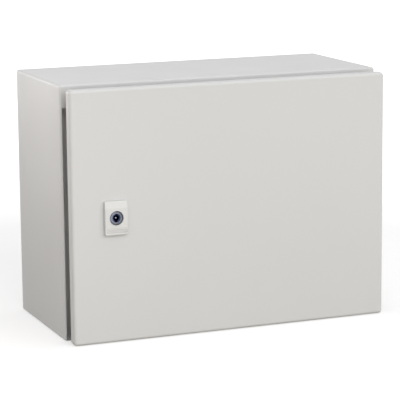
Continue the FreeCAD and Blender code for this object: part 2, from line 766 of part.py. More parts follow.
def lock_set():
    """All the pieces of the lock."""
    y_washer = y_cam_back + m5_washer_thickness
    screw_length = cam_screw_length + m5_washer_thickness - tip_chamfer
    return {
        "lock_escutcheon": make_escutcheon(),
        "lock_seal": make_lock_seal(),
        "lock_housing": make_housing(),
        "lock_nut": hexagon_nut(lock_nut_flats, lock_nut_height, barrel_radius + thread_clearance,
                                (x_lock, y_door_inside, z_lock), axis_y),
        "lock_insert": make_insert(),
        "lock_cam": make_cam(),
        "cam_washer": washer(m5, (x_lock, y_cam_back, z_lock), axis_y),
        "cam_screw": socket_screw(screw_length, (x_lock, y_washer, z_lock), forward),
        "lock_keeper": make_keeper(),
    }


body_earth_foot = (-half_width + body_sheet, -body_earth_set_back, -half_height + body_earth_height)
door_earth_foot = (door_right - door_earth_inset, y_door_inside, door_bottom + door_earth_height)

nodes = {
    "body_wrap": make_body_wrap(),
    "back_panel": make_back_panel(),
    "sealing_frame": make_sealing_frame(),
    "mounting_plate": make_mounting_plate(),
    "door_panel": make_door_panel(),
    "door_seal": make_door_seal(),
}
nodes.update(mounting_fasteners())
nodes.update(gland_set())
nodes.update(earth_fasteners("body_earth", body_earth_foot, axis_x))
nodes.update(earth_fasteners("door_earth", door_earth_foot, axis_y))
nodes.update(hinge_set())
nodes.update(lock_set())

os.makedirs("parts", exist_ok=True)
for name, shape in nodes.items():
    shape.exportStep("parts/" + name + ".step")
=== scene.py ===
"""Looks of a steel wall enclosure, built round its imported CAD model.

Lengths are metres in the CAD frame: X to the right seen from the front, Y into the wall, Z up.
The origin is the centre of the back face. CAD nodes whose shape is right stay and get a finish.
Threaded pieces, the foam bead, the gasket, nuts and washers are surfaces worked out here.
"""

import logging
from collections.abc import Mapping, Sequence
from dataclasses import dataclass, field
from enum import Enum
from math import cos, pi, radians, sin

import bmesh
import bpy
import numpy as np
from mathutils import Matrix, Vector


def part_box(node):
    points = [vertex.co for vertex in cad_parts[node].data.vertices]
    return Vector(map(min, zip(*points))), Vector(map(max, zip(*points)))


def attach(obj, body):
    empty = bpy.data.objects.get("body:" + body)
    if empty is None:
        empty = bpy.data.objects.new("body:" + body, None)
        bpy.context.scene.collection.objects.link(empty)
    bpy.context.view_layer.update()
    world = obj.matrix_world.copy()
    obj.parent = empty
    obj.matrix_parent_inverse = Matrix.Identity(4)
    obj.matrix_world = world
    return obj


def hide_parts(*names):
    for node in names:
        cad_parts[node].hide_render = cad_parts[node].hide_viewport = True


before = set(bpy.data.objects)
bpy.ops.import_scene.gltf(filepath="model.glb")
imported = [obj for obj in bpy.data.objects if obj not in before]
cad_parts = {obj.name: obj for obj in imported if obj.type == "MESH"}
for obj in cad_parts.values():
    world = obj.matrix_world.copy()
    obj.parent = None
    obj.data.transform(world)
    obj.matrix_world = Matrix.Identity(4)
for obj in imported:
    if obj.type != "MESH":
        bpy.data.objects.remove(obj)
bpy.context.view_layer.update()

log = logging.getLogger("enclosure")

Place = tuple[float, float, float]
Span = tuple[float, float]
Colour = tuple[float, float, float, float]
Socket = bpy.types.NodeSocket
Surface = tuple[Socket, Socket, Socket]

MILLIMETRES = 1000.0
FULL_TURN = 2 * pi
WHITE = (1.0, 1.0, 1.0, 1.0)

# A cosine that divides a length is no smaller than this.
LEAST_COSINE = 1e-4

# In a copied solid, points nearer than this are one, and faces flatter than this are joined.
MERGE_DISTANCE = 2e-6
FLAT_ANGLE = 0.4
ROUNDING_SEGMENTS = 3

# Columns from the middle of a polygon's side to its corner, as shares of the way, and the columns
# round a corner, as shares of its spread.
SIDE_COLUMNS = (-1.0, -0.55, -0.3)
CORNER_COLUMNS = (-1.0, -0.5, 0.0, 0.5, 1.0)


class Direction(Enum):
    """The ways that a fastener can point."""

    RIGHT = (1.0, 0.0, 0.0)
    INWARD = (0.0, 1.0, 0.0)
    OUTWARD = (0.0, -1.0, 0.0)
    UP = (0.0, 0.0, 1.0)

    def across(self) -> tuple[np.ndarray, np.ndarray]:
        """Two unit vectors that are at right angles to this direction and to each other."""
        side = Direction.RIGHT if self is Direction.UP else Direction.UP
        return np.cross(side.value, self.value), np.array(side.value)


class Carrier(Enum):
    """The CAD bodies that pieces ride on."""

    ENCLOSURE = "enclosure"
    DOOR = "door"
    LOCK_ROTOR = "lock_rotor"


class Slot(Enum):
    """Names of the record's material slots."""

    BODY_PAINT = "body_paint"
    ZINC_STEEL = "zinc_steel"
    BRIGHT_STEEL = "bright_steel"
    BRASS = "brass"
    DIE_CAST = "zinc_die_cast"
    LOCK_DARK = "lock_dark"
    SEAL_FOAM = "seal_foam"


class Effect(Enum):
    """Surface effects that several finishes share."""

    ORANGE_PEEL = "orange_peel"
    TONE_PATCHES = "tone_patches"
    DIRECTED_GRAIN = "directed_grain"
    HANDLING_MARKS = "handling_marks"
    ZINC_SPANGLE = "zinc_spangle"
    SKIN_PORES = "skin_pores"


# Surfaces


def grid_quads(rows: int, columns: int, wrap_rows: bool) -> np.ndarray:
    """Four-sided faces of a grid whose columns close on themselves.

    Point (row, column) has the number row times columns plus column. Each face joins a point to
    the next column and the next row.

    Args:
        rows: Number of rows.
        columns: Number of columns.
        wrap_rows: Whether the last row joins the first.

    Returns:
        Vertex numbers, one row of four for each face.
    """
    row, column = np.meshgrid(np.arange(rows if wrap_rows else rows - 1), np.arange(columns),
                              indexing="ij")
    next_row = (row + 1) % rows
    next_column = (column + 1) % columns
    corners = (row * columns + column, row * columns + next_column,
               next_row * columns + next_column, next_row * columns + column)
    return np.stack(corners, axis=-1).reshape(-1, 4)


@dataclass
class Shell:
    """Points and faces of one or more closed shells that become one mesh."""

    blocks: list[np.ndarray] = field(default_factory=list)
    faces: list[list[int]] = field(default_factory=list)
    count: int = 0

    def add_tube(self, grid: np.ndarray) -> None:
        """Adds a tube with a flat face at each end.

        Args:
            grid: Points as rows, columns and coordinates.
        """
        rows, columns = grid.shape[:2]
        first = np.arange(columns) + self.count
        last = first + (rows - 1) * columns
        self.faces += (grid_quads(rows, columns, False) + self.count).tolist()
        self.faces += [first[::-1].tolist(), last.tolist()]
        self._keep(grid)

    def add_ring(self, grid: np.ndarray) -> None:
        """Adds a ring: a grid that closes on itself both ways.

        Args:
            grid: Points as rows, columns and coordinates.
        """
        rows, columns = grid.shape[:2]
        self.faces += (grid_quads(rows, columns, True) + self.count).tolist()
        self._keep(grid)

    def _keep(self, grid: np.ndarray) -> None:
        """Stores the points of a grid."""
        self.blocks.append(grid.reshape(-1, 3))
        self.count += grid.shape[0] * grid.shape[1]

    def to_object(self, name: str, smooth_angle: float = 32.0) -> bpy.types.Object:
        """Turns the shells into a mesh object whose faces point outwards.

        Args:
            name: Name of the object and its mesh.
            smooth_angle: Edges flatter than this many degrees are shaded smooth.

        Returns:
            The object, linked to the scene and standing at the origin.
        """
        mesh = bpy.data.meshes.new(name)
        mesh.from_pydata(np.concatenate(self.blocks).tolist(), [], self.faces)
        work = bmesh.new()
        work.from_mesh(mesh)
        bmesh.ops.recalc_face_normals(work, faces=work.faces)
        work.to_mesh(mesh)
        work.free()
        return link_mesh(name, mesh, smooth_angle)


def link_mesh(name: str, mesh: bpy.types.Mesh, smooth_angle: float) -> bpy.types.Object:
    """Puts a mesh in the scene, shaded smooth except at its sharp edges.

    Args:
        name: Name of the object.
        mesh: The finished mesh.
        smooth_angle: Edges flatter than this many degrees are shaded smooth.

    Returns:
        The new object.
    """
    mesh.shade_smooth()
    mesh.set_sharp_from_angle(angle=radians(smooth_angle))
    piece = bpy.data.objects.new(name, mesh)
    bpy.context.scene.collection.objects.link(piece)
    return piece


def softened_copy(node: str, name: str, width: float, sharp_angle: float = 35.0) -> bpy.types.Object:
    """A copy of a CAD node with its sharp edges rounded off.

    The loose triangles are merged first and flat ones joined, so the bevel finds the true edges.

    Args:
        node: Name of the CAD node.
        name: Name of the new piece.
        width: Width of the rounding.
        sharp_angle: Edges sharper than this many degrees are rounded.

    Returns:
        The new object, with a live Bevel modifier.
    """
    mesh = bpy.data.meshes.new(name)
    work = bmesh.new()
    work.from_mesh(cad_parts[node].data)
    bmesh.ops.remove_doubles(work, verts=work.verts, dist=MERGE_DISTANCE)
    bmesh.ops.dissolve_limit(work, angle_limit=radians(FLAT_ANGLE), verts=work.verts,
                             edges=work.edges)
    work.to_mesh(mesh)
    work.free()
    piece = link_mesh(name, mesh, sharp_angle)
    bevel = piece.modifiers.new("edge_rounding", "BEVEL")
    bevel.width = width
    bevel.segments = ROUNDING_SEGMENTS
    bevel.limit_method = "ANGLE"
    bevel.angle_limit = radians(sharp_angle)
    bevel.harden_normals = True
    return piece


def turned(start: Place, way: Direction, angles: np.ndarray, heights: np.ndarray,
           radii: np.ndarray) -> np.ndarray:
    """Points of a surface round an axis.

    A point is the start, plus the way times its height, plus its radius times the unit vector at
    its angle across the way.

    Args:
        start: Point on the axis where the height is nought.
        way: Direction of the axis.
        angles: Angle of each column.
        heights: Height of each row, or of each point.
        radii: Radius of each row, or of each point.

    Returns:
        Points as rows, columns and coordinates.
    """
    across, side = way.across()
    heights, radii = (rows[:, None] if rows.ndim == 1 else rows for rows in (heights, radii))
    heights, radii, wide = np.broadcast_arrays(heights, radii, angles[None, :])
    return (np.array(start) + heights[..., None] * np.array(way.value)
            + (radii * np.cos(wide))[..., None] * across
            + (radii * np.sin(wide))[..., None] * side)


def even_angles(columns: int) -> np.ndarray:
    """Angles spaced evenly round a full turn."""
    return np.arange(columns) / columns * FULL_TURN


def corner_angles(corners: int, spread: float) -> np.ndarray:
    """Angles round a full turn that lie closer together near the corners of a regular polygon.

    Args:
        corners: Number of corners; the first is at angle nought.
        spread: Half the angle of a rounded corner, in degrees.

    Returns:
        The angles in rising order.
    """
    half = pi / corners
    steps = np.array(SIDE_COLUMNS) * half
    near = np.array(CORNER_COLUMNS) * radians(spread)
    sector = np.concatenate((steps, near, -steps[:0:-1]))
    return (np.arange(corners)[:, None] * 2 * half + sector[None, :]).ravel()


def rounded_polygon(angles: np.ndarray, apothem: float, corners: int,
                    power: float = 90.0) -> np.ndarray:
    """Radius of a regular polygon with rounded corners at each angle.

    The radius is the apothem divided by the power mean of the cosines to all the side middles,
    which comes near the largest cosine and blends the two sides at a corner.

    Args:
        angles: Angles to work out; the first corner is at angle nought.
        apothem: Distance from the centre to a side.
        corners: Number of corners.
        power: How tight the corners are.

    Returns:
        One radius for each angle.
    """
    middles = (np.arange(corners) + 0.5) * FULL_TURN / corners
    reach = np.clip(np.cos(angles[:, None] - middles[None, :]), 0.0, None)
    return apothem / np.power(np.sum(reach ** power, axis=1), 1.0 / power)


def quarter(centre: Span, radius: float, first: float, last: float, steps: int = 4) -> np.ndarray:
    """Points of an arc in a profile, as radius and height.

    A point is the centre plus the radius times the cosine and sine of an even run of angles.

    Args:
        centre: Centre of the arc.
        radius: Radius of the arc.
        first: First angle in degrees.
        last: Last angle in degrees.
        steps: Number of spans.

    Returns:
        Rows of radius and height.
    """
    angle = np.radians(np.linspace(first, last, steps + 1))
    return np.stack((centre[0] + radius * np.cos(angle), centre[1] + radius * np.sin(angle)), axis=-1)


def rounded_loop(x_span: Span, y_span: Span, radius: float, corner_points: int = 5,
                 side_points: int = 0) -> np.ndarray:
    """Points round a rectangle with rounded corners, anticlockwise from its lower right corner.

    Each corner is an arc of even angles about its own centre. The points of a side lie evenly
    between the ends of the arcs beside it.

    Args:
        x_span: Left and right edge.
        y_span: Lower and upper edge.
        radius: Corner radius.
        corner_points: Points of each corner.
        side_points: Points of each side between its corners.

    Returns:
        Rows of two coordinates.
    """
    centres = ((x_span[1] - radius, y_span[0] + radius), (x_span[1] - radius, y_span[1] - radius),
               (x_span[0] + radius, y_span[1] - radius), (x_span[0] + radius, y_span[0] + radius))
    arcs = [quarter(centre, radius, -90 + 90 * turn, 90 * turn, corner_points - 1)
            for turn, centre in enumerate(centres)]
    share = (np.arange(side_points) + 1.0)[:, None] / (side_points + 1)
    parts = []
    for arc, after in zip(arcs, arcs[1:] + arcs[:1]):
        parts += [arc, arc[-1] + (after[0] - arc[-1]) * share]
    return np.concatenate(parts)


# Fasteners


@dataclass(frozen=True)
class Thread:
    """A metric thread with the nut and the washer that belong to it."""

    radius: float
    pitch: float
    depth: float
    flats: float
    nut_height: float
    washer_radius: float
    washer_height: float
    flat_share: float = 0.2

    def groove(self, heights: np.ndarray, angles: np.ndarray) -> np.ndarray:
        """Depth of the thread below its crest.

        The phase is the height in pitches less the angle in turns. A triangle wave of the phase is
        stretched and clipped, which leaves narrow flats at crest and root.

        Args:
            heights: Heights as a column.
            angles: Angles as a row.

        Returns:
            Depths for each height and angle.
        """
        phase = np.mod(heights / self.pitch - angles / FULL_TURN, 1.0)
        wave = np.abs(2 * phase - 1)
        return self.depth * np.clip((1 + 2 * self.flat_share) * wave - self.flat_share, 0.0, 1.0)


# Radius, pitch, groove depth, width across flats, nut height, washer radius, washer height.
M8 = Thread(0.004, 0.00125, 0.00077, 0.013, 0.0065, 0.008, 0.0016)
M6 = Thread(0.003, 0.001, 0.00061, 0.010, 0.005, 0.006, 0.0012)
M5 = Thread(0.0025, 0.0008, 0.00049, 0.008, 0.004, 0.0075, 0.0012)
BARREL_THREAD = Thread(0.0105, 0.0015, 0.0007, 0.026, 0.005, 0.0, 0.0)


@dataclass(frozen=True)
class FastenerMaker:
    """Adds threaded bars, nuts, washers and screws to a shell.

    Lengths are metres and angles degrees. A share is of the foot's height, or of the thread's
    radius for the foot's neck and the nut's bore, or of the nut's chamfer for its rows.
    """

    bar_columns: int = 32
    rows_per_turn: int = 8
    tip_chamfer: float = 0.0006
    foot_columns: int = 48
    foot_height: float = 0.001
    foot_extra: float = 0.0015
    foot_rounding_share: float = 0.45
    foot_edge_share: float = 0.3
    foot_neck_share: float = 0.8
    hexagon: int = 6
    nut_corner: float = 4.0
    nut_corner_trim: float = 0.0002
    nut_chamfer: float = 0.0006
    nut_rows: tuple[float, ...] = (0.0, 0.12, 0.3, 0.55, 0.8, 1.0)
    nut_bore_share: float = 0.99
    nut_sink_share: float = 0.09
    washer_columns: int = 64
    washer_bore_extra: float = 0.0004
    washer_rounding: float = 0.00022
    head_radius: float = 0.0044
    head_height: float = 0.003
    head_rounding: float = 0.0006
    socket_corner: float = 3.0
    socket_apothem: float = 0.0015
    socket_depth: float = 0.0018
    socket_bevel: float = 0.00015

    def thread_rows(self, thread: Thread, length: float,
                    angles: np.ndarray) -> tuple[np.ndarray, np.ndarray]:
        """Heights and radii of a threaded bar with a chamfered tip.

        The radius is the thread's radius less its groove, and no more than the chamfer's cone.

        Args:
            thread: Thread of the bar.
            length: Length of the bar.
            angles: Angle of each column.

        Returns:
            Heights as a column, and a radius for each height and angle.
        """
        rows = int(np.ceil(length / thread.pitch * self.rows_per_turn)) + 1
        heights = np.linspace(0.0, length, rows)[:, None]
        cone = thread.radius - np.clip(self.tip_chamfer - (length - heights), 0.0, None)
        return heights, np.minimum(thread.radius - thread.groove(heights, angles[None, :]), cone)

    def bar(self, shell: Shell, thread: Thread, start: Place, way: Direction, length: float) -> None:
        """Adds a threaded bar with a chamfered tip.

        Args:
            shell: Shell that takes the bar.
            thread: Its thread.
            start: Foot of the bar.
            way: Where it points.
            length: Length of the bar.
        """
        angles = even_angles(self.bar_columns)
        shell.add_tube(turned(start, way, angles, *self.thread_rows(thread, length, angles)))

    def foot(self, shell: Shell, thread: Thread, start: Place, way: Direction) -> None:
        """Adds the low foot of a weld stud, with a straight edge that is rounded above.

        Args:
            shell: Shell that takes the foot.
            thread: Thread of the stud.
            start: Foot of the stud.
            way: Where it points.
        """
        top = self.foot_height
        reach = thread.radius + self.foot_extra
        rounding = top * self.foot_rounding_share
        profile = np.concatenate((
            np.array(((reach, 0.0), (reach, top * self.foot_edge_share))),
            quarter((reach - rounding, top - rounding), rounding, 0, 90),
            np.array(((thread.radius * self.foot_neck_share, top),))))
        shell.add_tube(turned(start, way, even_angles(self.foot_columns), profile[:, 1], profile[:, 0]))

    def nut(self, shell: Shell, thread: Thread, start: Place, way: Direction) -> None:
        """Adds a hexagon nut with turned corners and a countersunk bore.

        The outer radius is the smaller of the rounded hexagon and a bar that is chamfered at both
        ends. The bore widens by a small cone at each end.

        Args:
            shell: Shell that takes the nut.
            thread: Thread of the nut.
            start: Centre of its first face.
            way: Where it points.
        """
        angles = corner_angles(self.hexagon, self.nut_corner)
        sides = rounded_polygon(angles, thread.flats / 2, self.hexagon)
        corner = thread.flats / 2 / cos(pi / self.hexagon) - self.nut_corner_trim
        end = np.array(self.nut_rows) * self.nut_chamfer
        heights = np.concatenate((end, thread.nut_height - end[::-1]))
        edge = np.minimum(heights, thread.nut_height - heights)
        bar = corner - np.clip(self.nut_chamfer - edge, 0.0, None)
        outer = np.minimum(sides[None, :], bar[:, None])
        sink = self.nut_sink_share * thread.radius
        bore = self.nut_bore_share * thread.radius
        inner_heights = np.array((thread.nut_height, thread.nut_height - sink, sink, 0.0))
        inner = np.array((bore + sink, bore, bore, bore + sink))[:, None] * np.ones_like(angles)
        shell.add_ring(turned(start, way, angles, np.concatenate((heights, inner_heights)),
                              np.concatenate((outer, inner))))

    def washer(self, shell: Shell, thread: Thread, start: Place, way: Direction) -> None:
        """Adds a flat washer: a closed rectangular profile with rounded corners, turned.

        Args:
            shell: Shell that takes the washer.
            thread: Thread that it belongs to.
            start: Centre of its first face.
            way: Where it points.
        """
        profile = rounded_loop((thread.radius + self.washer_bore_extra, thread.washer_radius),
                               (0.0, thread.washer_height), self.washer_rounding)
        shell.add_ring(turned(start, way, even_angles(self.washer_columns), profile[:, 1],
                              profile[:, 0]))

    def socket_screw(self, shell: Shell, seat: Place, way: Direction, length: float) -> None:
        """Adds a low-head M5 screw with a hexagon socket.

        One grid runs from the socket's floor over the head and along the thread to the tip. The
        socket's rows take the radius of a hexagon, the others the radius of a turned profile.

        Args:
            shell: Shell that takes the screw.
            seat: Centre of the face that the head stands on.
            way: Where the thread points.
            length: Length of the thread.
        """
        angles = corner_angles(self.hexagon, self.socket_corner)
        sides = rounded_polygon(angles, self.socket_apothem, self.hexagon)
        top = -self.head_height
        bevel = self.socket_bevel
        socket_heights = np.array((top + self.socket_depth, top + bevel, top))
        socket = sides[None, :] + np.array((0.0, 0.0, bevel))[:, None]
        over = np.concatenate((
            quarter((self.head_radius - self.head_rounding, top + self.head_rounding),
                    self.head_rounding, -90, 0),
            np.array(((self.head_radius, -bevel), (self.head_radius - bevel, 0.0)))))
        run, thread = self.thread_rows(M5, length, angles)
        heights = np.concatenate((socket_heights, over[:, 1], run[:, 0]))
        head = over[:, :1] * np.ones_like(angles)[None, :]
        shell.add_tube(turned(seat, way, angles, heights, np.concatenate((socket, head, thread))))


MAKER = FastenerMaker()


# Shader graphs


@dataclass
class ShaderGraph:
    """A node tree that is being built, with short calls for its nodes and links.

    A mixing node has places for numbers, vectors and colours side by side. The two fields say
    which of them are its factor and two colours, and which is the mixed colour.
    """

    tree: bpy.types.NodeTree
    colour_places: tuple[int, int, int] = (0, 6, 7)
    colour_result: int = 2

    def feed(self, target: Socket, value: object) -> None:
        """Links a socket to an input, or sets the input's value.

        Args:
            target: The input.
            value: A socket, or a plain value.
        """
        if isinstance(value, Socket):
            self.tree.links.new(value, target)
        else:
            target.default_value = value

    def add(self, kind: str, inputs: Mapping[str | int, object] | None = None,
            **settings: object) -> bpy.types.Node:
        """Adds a node.

        Args:
            kind: Type name of the node.
            inputs: A value or a socket for each input, by its name or its place.
            **settings: Attributes of the node.

        Returns:
            The new node.
        """
        node = self.tree.nodes.new(kind)
        for name, value in settings.items():
            setattr(node, name, value)
        for name, value in (inputs or {}).items():
            self.feed(node.inputs[name], value)
        return node

    def join(self, kind: str, *values: object, **settings: object) -> Socket:
        """First result of a new node whose inputs take the values in order."""
        return self.add(kind, dict(enumerate(values)), **settings).outputs[0]

    def calculate(self, operation: str, first: object, second: object) -> Socket:
        """Result of a step of arithmetic on two numbers or sockets."""
        return self.join("ShaderNodeMath", first, second, operation=operation)

    def weigh(self, first: object, second: object, share: float) -> Socket:
        """The first value times its share plus the second times the rest."""
        return self.calculate("ADD", self.calculate("MULTIPLY", first, share),
                              self.calculate("MULTIPLY", second, 1.0 - share))

    def stretch(self, vector: Socket, scale: object) -> Socket:
        """A vector with each coordinate multiplied by a scale."""
        return self.join("ShaderNodeVectorMath", vector, scale, operation="MULTIPLY")

    def length(self, vector: Socket) -> Socket:
        """Length of a vector."""
        return self.add("ShaderNodeVectorMath", {0: vector}, operation="LENGTH").outputs["Value"]

    def noise(self, vector: Socket, scale: object, detail: float, roughness: float = 0.5) -> Socket:
        """Value of a noise texture."""
        return self.add("ShaderNodeTexNoise", {"Vector": vector, "Scale": scale, "Detail": detail,
                                               "Roughness": roughness}).outputs[0]

    def remap(self, value: Socket, span: tuple[object, object], low: object, high: object) -> Socket:
        """A value moved from a span to the range between low and high, and kept inside it."""
        return self.add("ShaderNodeMapRange", {"Value": value, "From Min": span[0],
                                               "From Max": span[1], "To Min": low,
                                               "To Max": high}).outputs[0]

    def blend_colours(self, factor: object, first: object, second: object) -> Socket:
        """A colour between two colours or sockets."""
        inputs = dict(zip(self.colour_places, (factor, first, second)))
        return self.add("ShaderNodeMix", inputs, data_type="RGBA").outputs[self.colour_result]

    def bump(self, height: Socket, depth: float, below: Socket | None = None) -> Socket:
        """A normal that a height between nought and one tilts, with its real depth.

        Args:
            height: The height.
            depth: Depth of a height of one, in metres.
            below: Normal of the surface that the height stands on, where it isn't the mesh's own.

        Returns:
            The tilted normal.
        """
        inputs = {"Height": height, "Distance": depth, "Strength": 1.0}
        if below is not None:
            inputs["Normal"] = below
        return self.add("ShaderNodeBump", inputs).outputs[0]

    def object_space(self, centre: Place = (0.0, 0.0, 0.0)) -> Socket:
        """Object coordinates with a pattern's centre moved to the origin."""
        coordinates = self.add("ShaderNodeTexCoord").outputs["Object"]
        return self.add("ShaderNodeMapping", {"Vector": coordinates,
                                              "Location": tuple(-value for value in centre)}).outputs[0]

    def effect(self, effect: Effect, inputs: Mapping[str, object]) -> bpy.types.Node:
        """Places a shared effect in this tree."""
        return self.add("ShaderNodeGroup", inputs, node_tree=EFFECTS.get(effect))


def bare_graph(owner: bpy.types.Material | bpy.types.World) -> ShaderGraph:
    """Empties the node tree of a material or a world.

    Args:
        owner: The material or the world.

    Returns:
        The empty tree, ready for its nodes.
    """
    owner.use_nodes = True
    owner.node_tree.nodes.clear()
    return ShaderGraph(owner.node_tree)


@dataclass
class EffectLibrary:
    """Builds each shared effect once, as a node group.

    A fineness is how many times smaller the second pattern is than the first. A share is the
    first pattern's part of the two. A span is where a pattern starts and ends to show.
    """

    peel_fineness: float = 3.7
    speck_fineness: float = 40.0
    patch_share: float = 0.7
    patch_span: Span = (0.3, 0.7)
    scratch_stretch: Place = (1.0, 1.0, 0.22)
    scratch_span: Span = (0.0, 0.012)
    scratch_patch_scale: float = 0.6
    scratch_patch_fade: float = 0.12
    crystal_ripple_scale: float = 260.0
    crystal_ripple: Place = (0.004, 0.004, 0.004)
    crystal_share: float = 0.7
    fern_stretch: Place = (1.0, 1.0, 3.5)
    fern_scale: float = 900.0
    cell_bump_scale: float = 320.0
    pore_span: Span = (0.0, 0.16)
    pore_place_scale: float = 500.0
    pore_place_span: Span = (0.58, 0.64)
    built: dict[Effect, bpy.types.NodeTree] = field(default_factory=dict)

    def get(self, effect: Effect) -> bpy.types.NodeTree:
        """The node group of an effect.

        Args:
            effect: The effect.

        Returns:
            Its node tree, built on the first call.
        """
        makers = {
            Effect.ORANGE_PEEL: self.orange_peel,
            Effect.TONE_PATCHES: self.tone_patches,
            Effect.DIRECTED_GRAIN: self.directed_grain,
            Effect.HANDLING_MARKS: self.handling_marks,
            Effect.ZINC_SPANGLE: self.zinc_spangle,
            Effect.SKIN_PORES: self.skin_pores,
        }
        if effect not in self.built:
            self.built[effect] = makers[effect]()
        return self.built[effect]

    @staticmethod
    def start(effect: Effect, inputs: Mapping[str, object],
              outputs: Mapping[str, str]) -> tuple[ShaderGraph, list[Socket], bpy.types.Node]:
        """Makes an empty group with its sockets, the first of which is the pattern's vector.

        Args:
            effect: The effect that the group is for.
            inputs: Default of each input after the vector: a number, a vector or a colour.
            outputs: Kind of each output.

        Returns:
            The graph, the sockets that bring the inputs, and the output node.
        """
        kinds = {1: "Float", 3: "Vector", 4: "Color"}
        tree = bpy.data.node_groups.new(effect.value, "ShaderNodeTree")
        tree.interface.new_socket(name="Vector", in_out="INPUT", socket_type="NodeSocketVector")
        for name, default in inputs.items():
            kind = "NodeSocket" + kinds[np.size(default)]
            socket = tree.interface.new_socket(name=name, in_out="INPUT", socket_type=kind)
            socket.default_value = default
        for name, kind in outputs.items():
            tree.interface.new_socket(name=name, in_out="OUTPUT", socket_type="NodeSocket" + kind)
        graph = ShaderGraph(tree)
        given = graph.add("NodeGroupInput")
        return graph, list(given.outputs), graph.add("NodeGroupOutput")

    def orange_peel(self) -> bpy.types.NodeTree:
        """Height of a sprayed and baked coat: slow dimples with finer ones over them.

        Returns:
            The effect's node tree.
        """
        graph, (vector, scale, share, *_), result = self.start(
            Effect.ORANGE_PEEL, {"Scale": 450.0, "Fine Share": 0.35}, {"Height": "Float"})
        slow = graph.noise(vector, scale, detail=1.0)
        finer = graph.calculate("MULTIPLY", scale, self.peel_fineness)
        fine = graph.noise(vector, finer, detail=2.0)
        height = graph.calculate("ADD", slow, graph.calculate("MULTIPLY", fine, share))
        graph.feed(result.inputs["Height"], height)
        return graph.tree

    def tone_patches(self) -> bpy.types.NodeTree:
        """A colour made a little lighter and darker in slow patches and fine specks.

        Returns:
            The effect's node tree.
        """
        graph, (vector, colour, scale, amount, *_), result = self.start(
            Effect.TONE_PATCHES, {"Colour": WHITE, "Scale": 9.0, "Amount": 0.05},
            {"Colour": "Color"})
        slow = graph.noise(vector, scale, detail=4.0, roughness=0.6)
        finer = graph.calculate("MULTIPLY", scale, self.speck_fineness)
        fine = graph.noise(vector, finer, detail=3.0)
        factor = graph.remap(graph.weigh(slow, fine, self.patch_share), self.patch_span,
                             graph.calculate("SUBTRACT", 1.0, amount),
                             graph.calculate("ADD", 1.0, amount))
        graph.feed(result.inputs["Colour"], graph.stretch(colour, factor))
        return graph.tree

    def directed_grain(self) -> bpy.types.NodeTree:
        """Fine lines that run along one axis, as rolling and turning leave them.

        Returns:
            The effect's node tree.
        """
        graph, (vector, stretch, scale, *_), result = self.start(
            Effect.DIRECTED_GRAIN, {"Stretch": (1.0, 1.0, 0.05), "Scale": 2500.0},
            {"Height": "Float"})
        lines = graph.noise(graph.stretch(vector, stretch), scale, detail=3.0, roughness=0.65)
        graph.feed(result.inputs["Height"], lines)
        return graph.tree

    def handling_marks(self) -> bpy.types.NodeTree:
        """Sparse hair scratches and rub marks, as a mask.

        Returns:
            The effect's node tree.
        """
        graph, (vector, scale, density, *_), result = self.start(
            Effect.HANDLING_MARKS, {"Scale": 60.0, "Density": 0.35}, {"Mask": "Float"})
        bent = graph.stretch(vector, self.scratch_stretch)
        cells = graph.add("ShaderNodeTexVoronoi", {"Vector": bent, "Scale": scale},
                          feature="DISTANCE_TO_EDGE")
        line = graph.remap(cells.outputs["Distance"], self.scratch_span, 1.0, 0.0)
        patch_scale = graph.calculate("MULTIPLY", scale, self.scratch_patch_scale)
        where = graph.noise(vector, patch_scale, detail=2.0)
        limit = graph.calculate("SUBTRACT", 1.0, density)
        patch_span = (limit, graph.calculate("ADD", limit, self.scratch_patch_fade))
        patch = graph.remap(where, patch_span, 0.0, 1.0)
        graph.feed(result.inputs["Mask"], graph.calculate("MULTIPLY", line, patch))
        return graph.tree

    def zinc_spangle(self) -> bpy.types.NodeTree:
        """Crystals of a hot-dipped zinc coat: a tone for each and a low step between them.

        Returns:
            The effect's node tree.
        """
        graph, (vector, scale, *_), result = self.start(
            Effect.ZINC_SPANGLE, {"Scale": 130.0}, {"Tone": "Float", "Height": "Float"})
        ripple = graph.add("ShaderNodeTexNoise", {"Vector": vector, "Detail": 3.0,
                                                  "Scale": self.crystal_ripple_scale})
        shift = graph.stretch(ripple.outputs["Color"], self.crystal_ripple)
        moved = graph.join("ShaderNodeVectorMath", vector, shift, operation="ADD")
        cells = graph.add("ShaderNodeTexVoronoi", {"Vector": moved, "Scale": scale})
        tone = graph.join("ShaderNodeSeparateColor", cells.outputs["Color"])
        fern = graph.noise(graph.stretch(vector, self.fern_stretch), self.fern_scale,
                           detail=4.0, roughness=0.7)
        mixed = graph.weigh(tone, fern, self.crystal_share)
        graph.feed(result.inputs["Tone"], mixed)
        graph.feed(result.inputs["Height"], graph.calculate("ADD", mixed, cells.outputs["Distance"]))
        return graph.tree

    def skin_pores(self) -> bpy.types.NodeTree:
        """Closed cells under a foam skin: soft bumps, and a mask of the few open pores.

        Returns:
            The effect's node tree.
        """
        graph, (vector, scale, *_), result = self.start(
            Effect.SKIN_PORES, {"Scale": 1100.0}, {"Height": "Float", "Pores": "Float"})
        cells = graph.add("ShaderNodeTexVoronoi", {"Vector": vector, "Scale": scale})
        distance = cells.outputs["Distance"]
        bumps = graph.noise(vector, self.cell_bump_scale, detail=3.0)
        open_cells = graph.remap(distance, self.pore_span, 1.0, 0.0)
        where = graph.noise(vector, self.pore_place_scale, detail=1.0)
        sparse = graph.remap(where, self.pore_place_span, 0.0, 1.0)
        graph.feed(result.inputs["Height"], graph.calculate("ADD", distance, bumps))
        graph.feed(result.inputs["Pores"], graph.calculate("MULTIPLY", open_cells, sparse))
        return graph.tree


EFFECTS = EffectLibrary()


# Finishes


